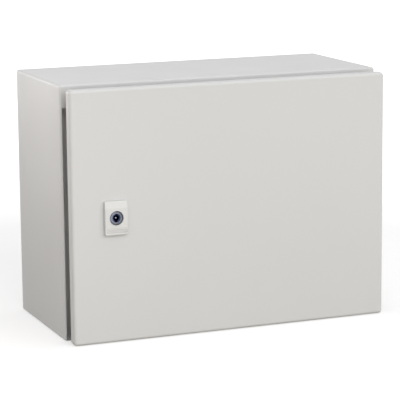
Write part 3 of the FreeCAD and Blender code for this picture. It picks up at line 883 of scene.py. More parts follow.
def linear(red: float, green: float, blue: float) -> Colour:
    """A colour for a shader from screen values.

    Each channel is divided by 255 and its screen curve undone: values above 0.04045 are raised to
    the power 2.4 after the usual offset.

    Args:
        red: Red from 0 to 255.
        green: Green from 0 to 255.
        blue: Blue from 0 to 255.

    Returns:
        Red, green, blue and alpha in linear light.
    """
    screen = np.array((red, green, blue)) / 255.0
    light = np.where(screen > 0.04045, ((screen + 0.055) / 1.055) ** 2.4, screen / 12.92)
    return (float(light[0]), float(light[1]), float(light[2]), 1.0)


def shaded(colour: Colour, factor: float, lift: float = 0.0) -> Colour:
    """A colour times a factor plus a lift, no brighter than one."""
    return tuple(min(1.0, value * factor + lift) for value in colour[:3]) + (1.0,)


@dataclass(frozen=True)
class Finish:
    """A material that is built once and shared by the pieces that have it.

    Scales are in waves or cells per metre, and the relief is the depth of its bumps in metres.
    The roughness moves from a little below its value to a little above it while a pattern goes
    through the rough span.
    """

    name: str
    colour: Colour
    roughness: float = 0.5
    rough_below: float = 0.04
    rough_above: float = 0.08
    rough_span: Span = (0.3, 0.7)
    tone_scale: float = 30.0
    tone_amount: float = 0.05
    marks_scale: float = 100.0
    marks_density: float = 0.4
    relief: float = 0.00001
    metallic: float = 0.0
    ior: float = 1.5

    def material(self) -> bpy.types.Material:
        """The finish's material.

        Returns:
            The material, built on the first call.
        """
        title = "finish_" + self.name
        kept = bpy.data.materials.get(title)
        if kept is not None:
            return kept
        material = bpy.data.materials.new(title)
        material.diffuse_color = self.colour
        graph = bare_graph(material)
        colour, roughness, normal = self.compose(graph, graph.object_space())
        shader = graph.add("ShaderNodeBsdfPrincipled",
                           {"Base Color": colour, "Roughness": roughness, "Normal": normal,
                            "Metallic": self.metallic, "IOR": self.ior})
        graph.add("ShaderNodeOutputMaterial", {"Surface": shader.outputs[0]})
        return material

    def compose(self, graph: ShaderGraph, space: Socket) -> Surface:
        """Works out colour, roughness and normal; each kind of finish has its own way."""
        raise NotImplementedError

    def toned(self, graph: ShaderGraph, space: Socket) -> Socket:
        """The finish's colour in slow patches and fine specks."""
        return graph.effect(Effect.TONE_PATCHES, {"Vector": space, "Colour": self.colour,
                                                  "Scale": self.tone_scale,
                                                  "Amount": self.tone_amount}).outputs[0]

    def marks(self, graph: ShaderGraph, space: Socket) -> Socket:
        """Mask of the finish's handling marks."""
        return graph.effect(Effect.HANDLING_MARKS, {"Vector": space, "Scale": self.marks_scale,
                                                    "Density": self.marks_density}).outputs[0]

    def uneven(self, graph: ShaderGraph, pattern: Socket) -> Socket:
        """The finish's roughness, moved below and above its value by a pattern."""
        return graph.remap(pattern, self.rough_span, self.roughness - self.rough_below,
                           self.roughness + self.rough_above)

    def dress(self, piece: bpy.types.Object) -> None:
        """Gives every material slot of a piece this finish.

        Args:
            piece: A new piece or a CAD node's object.
        """
        material = self.material()
        if not piece.material_slots:
            piece.data.materials.append(material)
        for slot in piece.material_slots:
            slot.material = material


@dataclass(frozen=True)
class PowderCoat(Finish):
    """Polyester powder coat: slight orange peel, soft sheen, barely uneven tone."""

    roughness: float = 0.42
    rough_above: float = 0.04
    tone_scale: float = 7.0
    tone_amount: float = 0.012
    marks_scale: float = 24.0
    marks_density: float = 0.3
    marks_shine: float = 0.05
    relief: float = 0.000016
    peel_scale: float = 520.0
    wave_scale: float = 6.0
    wave_depth: float = 0.0006
    sheen_scale: float = 14.0

    def compose(self, graph: ShaderGraph, space: Socket) -> Surface:
        """Tone patches, a sheen that marks polish a little, and peel over the sheet's slow wave.

        Args:
            graph: The material's graph.
            space: Coordinates on the piece.

        Returns:
            Colour, roughness and normal.
        """
        peel = graph.effect(Effect.ORANGE_PEEL, {"Vector": space, "Scale": self.peel_scale})
        sheet = graph.bump(graph.noise(space, self.wave_scale, detail=1.0), self.wave_depth)
        rough = self.uneven(graph, graph.noise(space, self.sheen_scale, detail=3.0))
        shine = graph.calculate("MULTIPLY", self.marks(graph, space), self.marks_shine)
        return (self.toned(graph, space), graph.calculate("SUBTRACT", rough, shine),
                graph.bump(peel.outputs[0], self.relief, sheet))


@dataclass(frozen=True)
class PlatedZinc(Finish):
    """Passivated zinc plate: a fine matt bloom over bright metal, with light handling marks."""

    roughness: float = 0.34
    rough_below: float = 0.07
    rough_above: float = 0.1
    tone_scale: float = 45.0
    tone_amount: float = 0.12
    marks_scale: float = 140.0
    marks_shine: float = 0.1
    relief: float = 0.000006
    metallic: float = 1.0
    grain_stretch: Place = (1.0, 1.0, 0.35)
    grain_scale: float = 1800.0
    bloom_scale: float = 90.0

    def compose(self, graph: ShaderGraph, space: Socket) -> Surface:
        """Tone patches, a bloom that marks polish, and fine grain with the marks cut into it.

        Args:
            graph: The material's graph.
            space: Coordinates on the piece.

        Returns:
            Colour, roughness and normal.
        """
        grain = graph.effect(Effect.DIRECTED_GRAIN, {"Vector": space, "Stretch": self.grain_stretch,
                                                     "Scale": self.grain_scale})
        marks = self.marks(graph, space)
        bloom = graph.noise(space, self.bloom_scale, detail=4.0, roughness=0.6)
        rough = self.uneven(graph, bloom)
        shine = graph.calculate("MULTIPLY", marks, self.marks_shine)
        height = graph.calculate("SUBTRACT", grain.outputs[0], marks)
        return (self.toned(graph, space), graph.calculate("SUBTRACT", rough, shine),
                graph.bump(height, self.relief))


@dataclass(frozen=True)
class GalvanisedSheet(Finish):
    """Hot-dipped sheet: crystals that each reflect a little differently."""

    roughness: float = 0.36
    rough_below: float = 0.08
    rough_above: float = 0.1
    rough_span: Span = (0.1, 0.9)
    marks_scale: float = 40.0
    metallic: float = 1.0
    crystal_scale: float = 120.0
    crystal_span: Span = (0.15, 0.85)
    dark_share: float = 0.78

    def compose(self, graph: ShaderGraph, space: Socket) -> Surface:
        """The crystals' tone, roughness and steps, with marks cut into them.

        Args:
            graph: The material's graph.
            space: Coordinates on the piece.

        Returns:
            Colour, roughness and normal.
        """
        spangle = graph.effect(Effect.ZINC_SPANGLE, {"Vector": space, "Scale": self.crystal_scale})
        tone = spangle.outputs["Tone"]
        colour = graph.blend_colours(graph.remap(tone, self.crystal_span, 0.0, 1.0),
                                     shaded(self.colour, self.dark_share), self.colour)
        height = graph.calculate("SUBTRACT", spangle.outputs["Height"], self.marks(graph, space))
        return colour, self.uneven(graph, tone), graph.bump(height, self.relief)


@dataclass(frozen=True)
class TurnedMetal(Finish):
    """Bright machined metal with fine tool lines round its axis."""

    roughness: float = 0.22
    rough_below: float = 0.05
    tone_scale: float = 60.0
    tone_amount: float = 0.08
    relief: float = 0.000004
    metallic: float = 1.0
    stretch: Place = (0.06, 0.06, 1.0)
    line_scale: float = 5200.0

    def compose(self, graph: ShaderGraph, space: Socket) -> Surface:
        """A faint tone, and tool lines that change roughness and height.

        Args:
            graph: The material's graph.
            space: Coordinates on the piece.

        Returns:
            Colour, roughness and normal.
        """
        lines = graph.effect(Effect.DIRECTED_GRAIN, {"Vector": space, "Stretch": self.stretch,
                                                     "Scale": self.line_scale}).outputs[0]
        return (self.toned(graph, space), self.uneven(graph, lines),
                graph.bump(lines, self.relief))


@dataclass(frozen=True)
class CastMetal(Finish):
    """Die-cast metal under a tinted passivation: a fine skin and slow changes of tint.

    Where a highlight axis is given, a painted highlight lies near that line, which runs along Y: a
    bright spot that stands in for the lamps' glint on the key pin's tip.
    """

    roughness: float = 0.3
    rough_below: float = 0.06
    marks_scale: float = 260.0
    marks_density: float = 0.45
    relief: float = 0.000006
    metallic: float = 1.0
    tint: Colour = (0.2, 0.2, 0.25, 1.0)
    tint_scale: float = 170.0
    tint_span: Span = (0.35, 0.65)
    skin_scale: float = 1400.0
    bloom_scale: float = 300.0
    painted_highlight_axis: Place | None = None
    painted_highlight_across: Place = (1.0, 0.0, 1.0)
    painted_highlight_span: Span = (0.0005, 0.0007)
    painted_highlight_colour: Colour = (0.5, 0.51, 0.53, 1.0)

    def compose(self, graph: ShaderGraph, space: Socket) -> Surface:
        """Two tints with the painted highlight spot, a bloom, and a cast skin with marks cut into it.

        Args:
            graph: The material's graph.
            space: Coordinates on the piece.

        Returns:
            Colour, roughness and normal.
        """
        flow = graph.noise(space, self.tint_scale, detail=3.0)
        tint = graph.blend_colours(graph.remap(flow, self.tint_span, 0.0, 1.0), self.colour,
                                   self.tint)
        # Painted highlight: a bright colour within a small radius of the axis stands in for the glint
        # on the pin's tip.
        if self.painted_highlight_axis is not None:
            across = graph.stretch(graph.object_space(self.painted_highlight_axis), self.painted_highlight_across)
            painted_highlight = graph.remap(graph.length(across), self.painted_highlight_span, 1.0, 0.0)
            tint = graph.blend_colours(painted_highlight, tint, self.painted_highlight_colour)
        skin = graph.effect(Effect.ORANGE_PEEL, {"Vector": space, "Scale": self.skin_scale})
        height = graph.calculate("SUBTRACT", skin.outputs[0], self.marks(graph, space))
        bloom = graph.noise(space, self.bloom_scale, detail=3.0)
        return tint, self.uneven(graph, bloom), graph.bump(height, self.relief)


@dataclass(frozen=True)
class MouldedPlastic(Finish):
    """Moulded plastic with a fine spark-eroded texture."""

    roughness: float = 0.46
    rough_above: float = 0.05
    tone_amount: float = 0.015
    relief: float = 0.000008
    ior: float = 1.49
    grain_scale: float = 2600.0
    grain_fine_share: float = 0.5
    flow_stretch: Place = (1.0, 1.0, 0.3)
    flow_scale: float = 80.0

    def compose(self, graph: ShaderGraph, space: Socket) -> Surface:
        """A faint tone, a sheen that follows the flow, and the mould's texture.

        Args:
            graph: The material's graph.
            space: Coordinates on the piece.

        Returns:
            Colour, roughness and normal.
        """
        grain = graph.effect(Effect.ORANGE_PEEL, {"Vector": space, "Scale": self.grain_scale,
                                                  "Fine Share": self.grain_fine_share})
        flow = graph.noise(graph.stretch(space, self.flow_stretch), self.flow_scale, detail=2.0)
        return (self.toned(graph, space), self.uneven(graph, flow),
                graph.bump(grain.outputs[0], self.relief))


@dataclass(frozen=True)
class FoamSkin(Finish):
    """Skin of a foam bead: soft cells and a few open pores."""

    roughness: float = 0.78
    rough_below: float = 0.1
    rough_above: float = 0.1
    rough_span: Span = (0.3, 1.1)
    tone_scale: float = 40.0
    tone_amount: float = 0.14
    relief: float = 0.00012
    ior: float = 1.45
    pore_scale: float = 1100.0
    pore_shade_share: float = 0.35

    def compose(self, graph: ShaderGraph, space: Socket) -> Surface:
        """Tone patches with painted shade in the open pores, and the cells' roughness and height.

        Args:
            graph: The material's graph.
            space: Coordinates on the piece.

        Returns:
            Colour, roughness and normal.
        """
        skin = graph.effect(Effect.SKIN_PORES, {"Vector": space, "Scale": self.pore_scale})
        cells, pores = skin.outputs["Height"], skin.outputs["Pores"]
        # Painted shade: the open pores are darkened, as shade falls in these small hollows.
        colour = graph.blend_colours(pores, self.toned(graph, space),
                                     shaded(self.colour, self.pore_shade_share))
        height = graph.calculate("SUBTRACT", cells, pores)
        return colour, self.uneven(graph, cells), graph.bump(height, self.relief)


@dataclass(frozen=True)
class Rubber(Finish):
    """Pressed rubber: a fine matt grain with a dusty bloom."""

    roughness: float = 0.68
    rough_below: float = 0.08
    rough_above: float = 0.1
    relief: float = 0.00002
    bloom_scale: float = 70.0
    bloom_span: Span = (0.4, 0.8)
    bloom_amount: float = 0.6
    pale_factor: float = 1.7
    pale_lift: float = 0.01
    grain_scale: float = 1900.0
    grain_fine_share: float = 0.6

    def compose(self, graph: ShaderGraph, space: Socket) -> Surface:
        """A pale bloom in colour and roughness, and the pressed grain.

        Args:
            graph: The material's graph.
            space: Coordinates on the piece.

        Returns:
            Colour, roughness and normal.
        """
        bloom = graph.noise(space, self.bloom_scale, detail=4.0, roughness=0.6)
        colour = graph.blend_colours(graph.remap(bloom, self.bloom_span, 0.0, self.bloom_amount),
                                     self.colour, shaded(self.colour, self.pale_factor, self.pale_lift))
        grain = graph.effect(Effect.ORANGE_PEEL, {"Vector": space, "Scale": self.grain_scale,
                                                  "Fine Share": self.grain_fine_share})
        return colour, self.uneven(graph, bloom), graph.bump(grain.outputs[0], self.relief)


BODY_PAINT = PowderCoat("body_powder_coat", linear(210, 210, 210))
DOOR_PAINT = PowderCoat("door_powder_coat", linear(210, 210, 210))
ZINC = PlatedZinc("passivated_zinc", linear(184, 187, 190))
GALVANISED = GalvanisedSheet("galvanised_sheet", linear(186, 189, 191))
PIN_STEEL = TurnedMetal("turned_pin_steel", linear(206, 206, 204))
BRASS = TurnedMetal("turned_brass", linear(214, 178, 106), roughness=0.24, stretch=(1.0, 0.08, 0.08))
SEAL_FOAM = FoamSkin("seal_foam", linear(64, 66, 68))
GASKET_FOAM = FoamSkin("gasket_foam", linear(52, 53, 55), pore_scale=1500.0)
SEAL_RUBBER = Rubber("seal_rubber", linear(44, 45, 47))
ESCUTCHEON_PLASTIC = MouldedPlastic("escutcheon_plastic", linear(217, 217, 216))
HOUSING_METAL = CastMetal("housing_cast_metal", linear(128, 132, 143), roughness=0.42,
                          tint=linear(103, 108, 119))
# The insert's bright spot on the lock axis, at the pin's tip, is a painted highlight.
INSERT_METAL = CastMetal("insert_dark_metal", linear(66, 74, 104), roughness=0.34,
                         tint=linear(44, 50, 76), painted_highlight_axis=(-0.146, 0.0, -0.00175))


# Pieces


@dataclass(frozen=True)
class Piece:
    """One dressed part of the enclosure, new or carried over from the CAD model."""

    label: str
    thing: bpy.types.Object
    finish: Finish
    fresh: bool


def carry_over(node: str, finish: Finish) -> Piece:
    """Keeps a CAD node and gives it a finish.

    Args:
        node: Name of the CAD node.
        finish: Its finish.

    Returns:
        The dressed piece.
    """
    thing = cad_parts[node]
    finish.dress(thing)
    return Piece(node, thing, finish, False)


def stand_in(thing: bpy.types.Object, node: str, carrier: Carrier, finish: Finish) -> Piece:
    """Finishes a new piece that stands for a CAD node.

    Args:
        thing: The new object, in place.
        node: The CAD node that it replaces.
        carrier: The body that it rides on.
        finish: Its finish.

    Returns:
        The dressed piece.
    """
    finish.dress(thing)
    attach(thing, carrier.value)
    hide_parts(node)
    return Piece(node, thing, finish, True)


def softened(node: str, carrier: Carrier, finish: Finish, width: float) -> Piece:
    """Replaces a CAD node by a copy with rounded edges.

    Args:
        node: The CAD node.
        carrier: The body that it rides on.
        finish: Its finish.
        width: Width of the rounding.

    Returns:
        The dressed piece.
    """
    return stand_in(softened_copy(node, node + "_rounded", width), node, carrier, finish)


def detailed(node: str, shell: Shell, carrier: Carrier,
             finish: Finish = ZINC, ending: str = "_detailed") -> Piece:
    """Turns a shell into the piece that stands for a CAD node.

    Args:
        node: The CAD node.
        shell: The piece's surface.
        carrier: The body that it rides on.
        finish: Its finish.
        ending: What the new object's name adds to the node's.

    Returns:
        The dressed piece.
    """
    return stand_in(shell.to_object(node + ending), node, carrier, finish)


# Sub-assemblies


@dataclass
class Body:
    """The folded body and its back panel."""

    sheets: tuple[str, ...] = ("body_wrap", "back_panel")

    def build(self) -> list[Piece]:
        """Dresses the two painted sheets."""
        return [carry_over(sheet, BODY_PAINT) for sheet in self.sheets]


@dataclass
class SealingFrame:
    """Gutters and rim round the opening, with the lock keeper that is fixed to them."""

    rim: str = "sealing_frame"
    keeper: str = "lock_keeper"
    keeper_rounding: float = 0.0003

    def build(self) -> list[Piece]:
        """Dresses the frame and rounds the keeper's cut edges."""
        return [carry_over(self.rim, BODY_PAINT),
                softened(self.keeper, Carrier.ENCLOSURE, ZINC, self.keeper_rounding)]


@dataclass
class MountingPlate:
    """The plate for equipment on its four studs."""

    x_reach: float = 0.1505
    z_reach: float = 0.1005
    y_foot: float = -0.0012
    y_plate_back: float = -0.0162
    y_plate_front: float = -0.0182
    stud_length: float = 0.0296
    plate_rounding: float = 0.0002

    def build(self) -> list[Piece]:
        """Builds studs, nuts and washers at the plate's four corners and dresses the plate.

        Returns:
            The finished pieces.
        """
        studs, rear_nuts, washers, front_nuts = Shell(), Shell(), Shell(), Shell()
        y_nut = self.y_plate_front - M8.washer_height
        for x in (-self.x_reach, self.x_reach):
            for z in (-self.z_reach, self.z_reach):
                MAKER.foot(studs, M8, (x, self.y_foot, z), Direction.OUTWARD)
                MAKER.bar(studs, M8, (x, self.y_foot, z), Direction.OUTWARD, self.stud_length)
                MAKER.nut(rear_nuts, M8, (x, self.y_plate_back, z), Direction.INWARD)
                MAKER.washer(washers, M8, (x, self.y_plate_front, z), Direction.OUTWARD)
                MAKER.nut(front_nuts, M8, (x, y_nut, z), Direction.OUTWARD)
        return [
            softened("mounting_plate", Carrier.ENCLOSURE, GALVANISED,
                     self.plate_rounding),
            detailed("mounting_studs", studs, Carrier.ENCLOSURE),
            detailed("mounting_rear_nuts", rear_nuts, Carrier.ENCLOSURE),
            detailed("mounting_washers", washers, Carrier.ENCLOSURE),
            detailed("mounting_front_nuts", front_nuts, Carrier.ENCLOSURE),
        ]


@dataclass
class GlandPlate:
    """The plate over the cable opening, with its gasket, studs and nuts."""

    x_opening: float = 0.12
    y_opening: Span = (-0.125, -0.045)
    overlap: float = 0.013
    corner_radius: float = 0.004
    z_floor: float = -0.1488
    z_plate: float = -0.1458
    z_nut: float = -0.1438
    stud_length: float = 0.0145
    gasket_bulge: float = 0.0005
    gasket_rows: int = 9
    gasket_smooth_angle: float = 50.0
    corner_points: int = 9
    side_points: int = 40
    plate_rounding: float = 0.0002

    def loop(self, margin: float) -> np.ndarray:
        """Points round the opening, widened on all sides by a margin."""
        return rounded_loop((-self.x_opening - margin, self.x_opening + margin),
                            (self.y_opening[0] - margin, self.y_opening[1] + margin),
                            self.corner_radius, self.corner_points, self.side_points)

    def gasket(self) -> bpy.types.Object:
        """Builds the gasket as a band between two rounded rectangles.

        A point lies between the inner and the outer loop by its share of the width. The section's
        two edges bulge as a squeezed gasket does: the share goes past the loop by the bulge times
        one less the square of the height from the middle.

        Returns:
            The gasket's object.
        """
        inner, outer = self.loop(0.0), self.loop(self.overlap)
        level = np.linspace(-1.0, 1.0, self.gasket_rows)
        bulge = self.gasket_bulge / self.overlap * (1.0 - level ** 2)
        share = np.concatenate((1.0 + bulge, -bulge[::-1]))
        level = np.concatenate((level, level[::-1]))
        middle = (self.z_floor + self.z_plate) / 2
        half = (self.z_plate - self.z_floor) / 2
        flat = inner[None] + (outer - inner)[None] * share[:, None, None]
        height = np.broadcast_to((middle + half * level)[:, None, None], flat.shape[:2] + (1,))
        shell = Shell()
        shell.add_ring(np.concatenate((flat, height), axis=-1))
        return shell.to_object("gland_gasket_squeezed", self.gasket_smooth_angle)

    def build(self) -> list[Piece]:
        """Builds gasket, studs and nuts and dresses the plate.

        Returns:
            The finished pieces.
        """
        studs, nuts = Shell(), Shell()
        margin = self.overlap / 2
        for x in (-self.x_opening - margin, 0.0, self.x_opening + margin):
            for y in (self.y_opening[0] - margin, self.y_opening[1] + margin):
                MAKER.bar(studs, M6, (x, y, self.z_floor), Direction.UP, self.stud_length)
                MAKER.nut(nuts, M6, (x, y, self.z_nut), Direction.UP)
        return [
            softened("gland_plate", Carrier.ENCLOSURE, BODY_PAINT,
                     self.plate_rounding),
            stand_in(self.gasket(), "gland_gasket", Carrier.ENCLOSURE, GASKET_FOAM),
            detailed("gland_studs", studs, Carrier.ENCLOSURE, ending="_threaded"),
            detailed("gland_nuts", nuts, Carrier.ENCLOSURE),
        ]


@dataclass
class EarthPoint:
    """An earth stud with its washer and its nut."""

    prefix: str
    carrier: Carrier
    foot: Place
    way: Direction
    length: float = 0.0162

    def at(self, height: float) -> Place:
        """The point of the stud's axis at a height above its foot."""
        return tuple(start + step * height for start, step in zip(self.foot, self.way.value))

    def build(self) -> list[Piece]:
        """Builds the three pieces.

        Returns:
            The finished pieces.
        """
        stud, washer, nut = Shell(), Shell(), Shell()
        MAKER.foot(stud, M6, self.foot, self.way)
        MAKER.bar(stud, M6, self.foot, self.way, self.length)
        MAKER.washer(washer, M6, self.at(MAKER.foot_height), self.way)
        MAKER.nut(nut, M6, self.at(MAKER.foot_height + M6.washer_height), self.way)
        return [detailed(self.prefix + "_stud", stud, self.carrier),
                detailed(self.prefix + "_washer", washer, self.carrier),
                detailed(self.prefix + "_nut", nut, self.carrier, BRASS)]


@dataclass
class Hinges:
    """Two concealed hinges: leaves, pins, screws, studs and nuts."""

    heights: Span = (-0.085, 0.085)
    screw_reach: float = 0.023
    x_frame_screw: float = 0.184
    y_frame_leaf: float = -0.155
    y_gutter_back: float = -0.1508
    screw_length: float = 0.012
    x_door_stud: float = 0.18705
    y_door_inside: float = -0.1985
    y_door_leaf: float = -0.196
    stud_length: float = 0.011
    leaf_rounding: float = 0.00035
    pin_rounding: float = 0.0002

    def build(self) -> list[Piece]:
        """Builds the fasteners, four to a side, and rounds the leaves and pins.

        Returns:
            The finished pieces.
        """
        screws, screw_nuts, studs, stud_nuts = Shell(), Shell(), Shell(), Shell()
        for z in (height + step for height in self.heights
                  for step in (-self.screw_reach, self.screw_reach)):
            MAKER.socket_screw(screws, (self.x_frame_screw, self.y_frame_leaf, z), Direction.INWARD,
                               self.screw_length)
            MAKER.nut(screw_nuts, M5, (self.x_frame_screw, self.y_gutter_back, z), Direction.INWARD)
            MAKER.bar(studs, M5, (self.x_door_stud, self.y_door_inside, z), Direction.INWARD,
                      self.stud_length)
            MAKER.nut(stud_nuts, M5, (self.x_door_stud, self.y_door_leaf, z), Direction.INWARD)
        pieces = [detailed("hinge_screws", screws, Carrier.ENCLOSURE),
                  detailed("hinge_screw_nuts", screw_nuts, Carrier.ENCLOSURE),
                  detailed("door_leaf_studs", studs, Carrier.DOOR),
                  detailed("door_leaf_nuts", stud_nuts, Carrier.DOOR)]
        for level in ("lower", "upper"):
            pieces += [
                softened(level + "_frame_leaf", Carrier.ENCLOSURE, ZINC,
                         self.leaf_rounding),
                softened(level + "_door_leaf", Carrier.DOOR, ZINC,
                         self.leaf_rounding),
                softened(level + "_hinge_pin", Carrier.ENCLOSURE, PIN_STEEL,
                         self.pin_rounding),
            ]
        return pieces


@dataclass
class Door:
    """The folded door panel and the foam bead on its inside.

    A wave of the bead is given by its count round the loop, its strength and its phase.
    """

    x_outer: float = 0.1798
    z_outer: float = 0.1298
    bead_width: float = 0.012
    bead_height: float = 0.0080
    outer_corner: float = 0.015
    inner_corner: float = 0.003
    y_inside: float = -0.1985
    corner_points: int = 17
    side_points: int = 150
    section_points: int = 25
    section_reach: float = 0.485
    dome_power: float = 2.6
    dome_root: float = 2.2
    join_height: float = 0.00015
    join_length: float = 0.018
    wander: float = 0.00012
    rise_waves: tuple[Place, ...] = ((7, 1.0, 0.4), (19, 0.6, 1.9), (43, 0.45, 0.7), (101, 0.3, 2.6))
    swing_waves: tuple[Place, ...] = ((5, 1.0, 1.1), (23, 0.7, 0.2), (61, 0.4, 2.2))
    smooth_angle: float = 70.0

    def loop(self, margin: float, radius: float) -> np.ndarray:
        """Points round a loop that lies a margin inside the bead's outer edge."""
        x, z = self.x_outer - margin, self.z_outer - margin
        return rounded_loop((-x, x), (-z, z), radius, self.corner_points, self.side_points)

    @staticmethod
    def ripple(turn: np.ndarray, waves: Sequence[Place]) -> np.ndarray:
        """Slow changes along the bead: a sum of sines, divided by the sum of their strengths.

        Args:
            turn: Angle of each point, a full turn once round the bead.
            waves: Count, strength and phase of each sine.

        Returns:
            One value for each point, between minus one and one.
        """
        count, strength, phase = np.array(waves).T[:, :, None]
        return (strength * np.sin(count * turn + phase)).sum(axis=0) / strength.sum()

    def foam_bead(self) -> bpy.types.Object:
        """Builds the poured bead as a band between two rounded rectangles.

        Across the bead the height is a flattened dome: one less the offset from the middle raised
        to a power, and the root of that. Along it, height and place wander a little as sums of
        slow sines, and a low lump at the middle of the lower side marks where the pour began and
        ended.

        Returns:
            The bead's object.
        """
        outer = self.loop(0.0, self.outer_corner)
        inner = self.loop(self.bead_width, self.inner_corner)
        middle = (outer + inner) / 2
        step = np.linalg.norm(np.roll(middle, -1, axis=0) - middle, axis=1)
        turn = np.concatenate(((0.0,), np.cumsum(step)[:-1])) / step.sum() * FULL_TURN
        from_join = np.where(middle[:, 1] < 0, np.abs(middle[:, 0]), np.inf)
        lump = np.exp(-(from_join / self.join_length) ** 2)
        top = (self.bead_height - self.wander + self.wander * self.ripple(turn, self.rise_waves)
               + self.join_height * lump)
        offset = -np.cos(np.linspace(0.0, pi, self.section_points))
        dome = np.clip(1.0 - np.abs(offset) ** self.dome_power, 0.0, 1.0) ** (1 / self.dome_root)
        swing = self.wander / self.bead_width * self.ripple(turn, self.swing_waves)
        share = (offset * self.section_reach + 0.5)[:, None] + swing[None, :]
        flat = inner[None] + (outer - inner)[None] * share[..., None]
        y = self.y_inside + dome[:, None] * top[None, :]
        shell = Shell()
        shell.add_ring(np.stack((flat[..., 0], y, flat[..., 1]), axis=-1))
        return shell.to_object("foam_bead", self.smooth_angle)

    def build(self) -> list[Piece]:
        """Dresses the panel and builds the bead."""
        return [carry_over("door_panel", DOOR_PAINT),
                stand_in(self.foam_bead(), "door_seal", Carrier.DOOR, SEAL_FOAM)]


@dataclass
class Lock:
    """The quarter-turn lock: escutcheon, seal, housing, nut, insert, cam and its screw."""

    x_axis: float = -0.146
    z_axis: float = -0.00175
    y_face: float = -0.2049
    flat_radius: float = 0.0064
    face_radius: float = 0.0083
    bevel_drop: float = 0.0009
    well_radius: float = 0.0049
    lip: float = 0.0012
    y_flange: float = -0.2028
    flange_radius: float = 0.0115
    y_seal: float = -0.2008
    y_barrel_end: float = -0.188
    barrel_flat: float = 0.0098
    barrel_chamfer: float = 0.0005
    bore_radius: float = 0.00658
    housing_edge: float = 0.00015
    housing_columns: int = 96
    rows_per_turn: int = 9
    y_door_inside: float = -0.1985
    y_insert: float = -0.2034
    insert_radius: float = 0.0065
    insert_edge: float = 0.0002
    insert_columns: int = 144
    keyhole_radius: float = 0.0036
    keyhole_depth: float = 0.010
    slot_reach: float = 0.0049
    slot_half_width: float = 0.0013
    slot_least_sine: float = 0.5
    y_collar: float = -0.1877
    collar: float = 0.002
    collar_radius: float = 0.0086
    shank_radius: float = 0.006
    y_cam: float = -0.1772
    cam_thickness: float = 0.003
    cam_rounding: float = 0.0003
    square_half: float = 0.004
    square_corner_share: float = 1.3
    pin_radius: float = 0.0015
    pin_recess: float = 0.0008
    pin_dome_share: float = 0.5
    pin_dome_angle: float = 86.0
    pin_rows: int = 9
    pin_columns: int = 36
    screw_length: float = 0.0096
    smooth_angle: float = 28.0

    def axis_point(self, y: float = 0.0) -> Place:
        """The point of the lock's axis at a depth."""
        return (self.x_axis, y, self.z_axis)

    def housing(self) -> bpy.types.Object:
        """Builds the housing as one ring: bevelled face, flange, threaded barrel, bore and well.

        The barrel's radius is the smaller of the thread and the distance to its two flats, which
        is the flat's distance divided by the cosine of the angle from them.

        Returns:
            The housing's object.
        """
        angles = even_angles(self.housing_columns)
        edge = self.housing_edge
        y_bevel = self.y_face + self.bevel_drop
        front = np.array((
            (self.well_radius, self.y_face + edge), (self.well_radius + edge, self.y_face),
            (self.flat_radius - edge, self.y_face),
            (self.flat_radius + edge / 2, self.y_face + edge / 2),
            (self.face_radius - edge / 2, y_bevel - edge / 5),
            (self.face_radius, y_bevel + edge / 2), (self.face_radius, self.y_flange),
            (self.flange_radius - edge, self.y_flange), (self.flange_radius, self.y_flange + edge),
            (self.flange_radius, self.y_seal)))
        turns = (self.y_barrel_end - self.y_seal) / BARREL_THREAD.pitch
        y_thread = np.linspace(self.y_seal, self.y_barrel_end,
                               int(turns * self.rows_per_turn) + 1)[:, None]
        chamfer = np.clip(self.barrel_chamfer - (self.y_barrel_end - y_thread), 0.0, None)
        thread = BARREL_THREAD.radius - np.maximum(
            BARREL_THREAD.groove(y_thread, angles[None, :]), chamfer)
        flat = self.barrel_flat / np.clip(np.abs(np.cos(angles)), LEAST_COSINE, None)
        rear = np.array((
            (self.bore_radius + 2 * edge, self.y_barrel_end),
            (self.bore_radius, self.y_barrel_end - 2 * edge),
            (self.bore_radius, self.y_face + self.lip), (self.well_radius, self.y_face + self.lip)))
        spread = np.ones_like(angles)[None, :]
        radii = np.concatenate((front[:, :1] * spread, np.minimum(thread, flat[None, :]),
                                rear[:, :1] * spread))
        depths = np.concatenate((front[:, 1], y_thread[:, 0], rear[:, 1]))
        shell = Shell()
        shell.add_ring(turned(self.axis_point(), Direction.INWARD, angles, depths, radii))
        return shell.to_object("lock_housing_threaded", self.smooth_angle)

    def keyhole(self, angles: np.ndarray) -> np.ndarray:
        """Radius of the key opening at each angle.

        A point of a slot's wall lies at the slot's half width divided by the sine of the angle
        from the upright, or at the slot's end. Elsewhere the radius is the round hole's.

        Args:
            angles: Angles, measured from the level.

        Returns:
            One radius for each angle.
        """
        upright = np.abs(np.sin(angles))
        level = np.clip(np.abs(np.cos(angles)), LEAST_COSINE, None)
        slot = np.maximum(self.keyhole_radius,
                          np.minimum(self.slot_reach, self.slot_half_width / level))
        return np.where(upright > self.slot_least_sine, slot, self.keyhole_radius)

    def pin(self, shell: Shell) -> None:
        """Adds the key's pin: a bar whose tip is a quarter circle, flattened along the axis.

        Args:
            shell: Shell that takes the pin.
        """
        rise = np.radians(np.linspace(0.0, self.pin_dome_angle, self.pin_rows))
        y_tip = self.y_insert + self.pin_recess
        dome = y_tip + self.pin_radius * self.pin_dome_share * (1.0 - np.sin(rise))
        depths = np.concatenate(((self.y_insert + self.keyhole_depth,), dome))
        radii = np.concatenate(((self.pin_radius,), self.pin_radius * np.cos(rise)))
        shell.add_tube(turned(self.axis_point(), Direction.INWARD, even_angles(self.pin_columns),
                              depths, radii))

